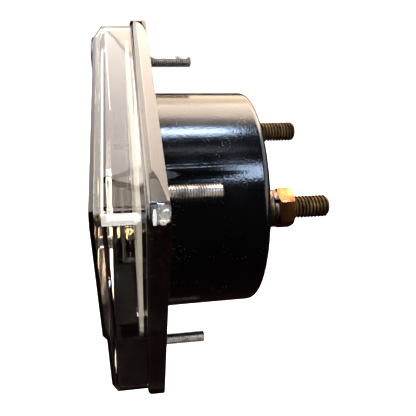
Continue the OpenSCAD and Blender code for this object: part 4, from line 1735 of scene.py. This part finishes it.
@dataclass(frozen=True)
class PanelLight:
    """A rectangular light that fills a span of directions as seen from the meter.

    The angles are in degrees: over runs from overhead, positive to the right, and rear runs
    towards the terminals. Glow is the radiance of its face, so that its look doesn't change
    with its size.
    """

    name: str
    over: tuple[float, float]
    rear: tuple[float, float]
    glow: float
    colour: str
    distance: float = 1.2

    def hang(self, lit: bpy.types.Collection | None = None) -> None:
        """Hangs the light so that it faces the meter.

        Args:
            lit: The pieces that it lights, or None for all of them.
        """
        width, height = (
            2 * self.distance * math.tan(math.radians(span[1] - span[0]) / 2)
            for span in (self.over, self.rear)
        )
        across = math.radians(sum(self.over) / 2)
        back = math.radians(sum(self.rear) / 2)
        data = bpy.data.lights.new(self.name, "AREA")
        data.shape = "RECTANGLE"
        data.size, data.size_y = width, height
        data.energy = self.glow * math.pi * width * height
        data.color = linear(self.colour)[:3]
        light = bpy.data.objects.new(self.name, data)
        bpy.context.scene.collection.objects.link(light)
        level = math.cos(back)
        out = Vector((math.sin(across) * level, math.sin(back), math.cos(across) * level))
        side = Vector((math.cos(across), 0, -math.sin(across)))
        axes = Matrix((side, out.cross(side), out)).transposed()
        light.matrix_world = Matrix.Translation(out * self.distance) @ axes.to_4x4()
        light.light_linking.receiver_collection = lit


# Each has its span over, its span towards the rear, its glow and its colour.
ROOM_LIGHTS = (
    # One wide warm window on the left, brightest in its pane: the sheen of the upper faces.
    PanelLight("window_low_sun", (-96, -71), (-7, 50), 4.4, "#ffe2c0"),
    PanelLight("window_pane", (-71, -44), (1.2, 50), 8.4, "#ffead6"),
    PanelLight("window_sill", (-71, -44), (-38, 1.8), 4.4, "#fff4ec"),
    PanelLight("window_edge", (-44, -35), (-7, 50), 2.4, "#fff0e0"),
    # Pale walls before and behind the meter, which clear and rounded surfaces pick up.
    PanelLight("front_wall", (-120, -40), (-62, -22), 2.0, "#f4ece4"),
    PanelLight("front_fill", (-30, 40), (-85, -50), 2.0, "#f4f0ea"),
    PanelLight("back_fill", (-40, 40), (38, 78), 2.4, "#e8ecf0"),
    # Narrow cool strips, which draw the bands along the black barrel.
    PanelLight("sky_strip", (-28, -22), (2, 16), 48.0, "#c8deff"),
    PanelLight("ceiling_gap", (-5, -1), (5, 18), 2.5, "#c8d4e8"),
    PanelLight("rear_strip", (15, 28), (14, 24), 18.0, "#c4dcff"),
)


@dataclass
class Studio:
    """Camera, soft lights, pale floor and pale surround."""

    camera_at: Vector = field(default_factory=lambda: Vector((0.09116, -0.00698, 0.08541)))
    azimuth: float = 77.167
    elevation: float = 43.585
    roll: float = 6.166
    lens: float = 43.226
    sensor: float = 36
    nearest_seen: float = 5 * MM
    floor_size: float = 12
    floor_drop: float = 0.8
    surround_r: float = 5

    def camera(self) -> None:
        """Puts the camera in place."""
        data = bpy.data.cameras.new("camera")
        data.lens = self.lens
        data.sensor_width = self.sensor
        data.clip_start = self.nearest_seen
        camera = bpy.data.objects.new("camera", data)
        bpy.context.scene.collection.objects.link(camera)
        turn_z = Matrix.Rotation(math.radians(self.azimuth), 4, "Z")
        tilt = Matrix.Rotation(math.radians(90 - self.elevation), 4, "X")
        roll = Matrix.Rotation(math.radians(self.roll), 4, "Z")
        camera.matrix_world = Matrix.Translation(self.camera_at) @ turn_z @ tilt @ roll
        bpy.context.scene.camera = camera

    def light_only(self, group: str, pieces: Sequence[str], *panels: PanelLight) -> None:
        """Hangs lights that only some of the pieces pick up.

        Args:
            group: Name of the collection that holds those pieces.
            pieces: Their names.
            panels: The lights.
        """
        lit = bpy.data.collections.new(group)
        for name in pieces:
            lit.objects.link(bpy.data.objects[name])
        for panel in panels:
            panel.hang(lit)

    def side_lights(self) -> None:
        """Lights the threads' flanks and the cover's near corner, once those pieces exist."""
        self.light_only(
            "lit_by_the_lamp",
            ("threaded_studs", "threaded_terminal_left", "threaded_terminal_right"),
            PanelLight("lamp", (0, 120), (-30, 60), 0.9, "#eef0f0"),
        )
        self.light_only(
            "lit_by_the_doorway",
            ("clear_cover",),
            PanelLight("doorway", (10, 114), (-6, 1.2), 18.0, "#fffaf4"),
            PanelLight("door_frame", (10, 108), (1.2, 7), 2.2, "#d4def0"),
        )

    def surround(self) -> None:
        """Floor and backdrop, which glossy surfaces don't pick up."""
        deselect_all()
        bpy.ops.mesh.primitive_plane_add(size=self.floor_size, location=(0, 0, -self.floor_drop))
        floor = newest("studio_floor")
        # It glows, so that no shade or shadow shows on it.
        material, _ = new_material(
            "matt_white_floor",
            {
                "Base Color": linear("#f4f4f2"),
                "Roughness": 0.9,
                "Emission Color": (1, 1, 1, 1),
                "Emission Strength": 1.0,
            },
        )
        floor.data.materials.append(material)
        deselect_all()
        bpy.ops.mesh.primitive_uv_sphere_add(segments=48, ring_count=24, radius=self.surround_r)
        dome = newest("studio_surround")
        dome.data.materials.append(material)
        for stage in (floor, dome):
            stage.visible_glossy = False
            stage.visible_transmission = False
            stage.visible_diffuse = False
            stage.visible_shadow = False

    def world(self) -> None:
        """A dim room round the meter: dark brown below, warm grey above."""
        world = bpy.data.worlds.new("dim_room")
        world.use_nodes = True
        tree = world.node_tree
        towards = add_node(tree, "TexCoord").outputs["Generated"]
        height = add_node(tree, "SeparateXYZ", None, {"Vector": towards}).outputs["Z"]
        rise = add_node(tree, "MapRange", {1: -0.5, 2: 0.35, 3: 0.0, 4: 1.0}, {0: height}).outputs[0]
        room = add_node(
            tree,
            "Mix",
            {"data_type": "RGBA", 6: linear("#241718"), 7: linear("#2e2b2d")},
            {0: rise},
        )
        background = tree.nodes["Background"]
        tree.links.new(room.outputs[2], background.inputs["Color"])
        bpy.context.scene.world = world

    def build(self) -> None:
        """Sets the studio up."""
        self.camera()
        for panel in ROOM_LIGHTS:
            panel.hang()
        self.surround()
        self.world()
        bpy.context.scene.view_settings.view_transform = "Standard"


def main() -> None:
    """Builds the studio and the meter."""
    logging.basicConfig(level=logging.INFO, format="%(name)s: %(message)s")
    finishes = Finishes()
    studio = Studio()
    studio.build()
    Movement(finishes).build()
    for maker in (ClearCover, LowerMask, RearCase, MountingStuds, Terminals, DialPrint, ZeroAdjuster):
        LOG.info("building %s", maker.__name__)
        maker(finishes).build()
    studio.side_lights()


if __name__ == "__main__":
    main()
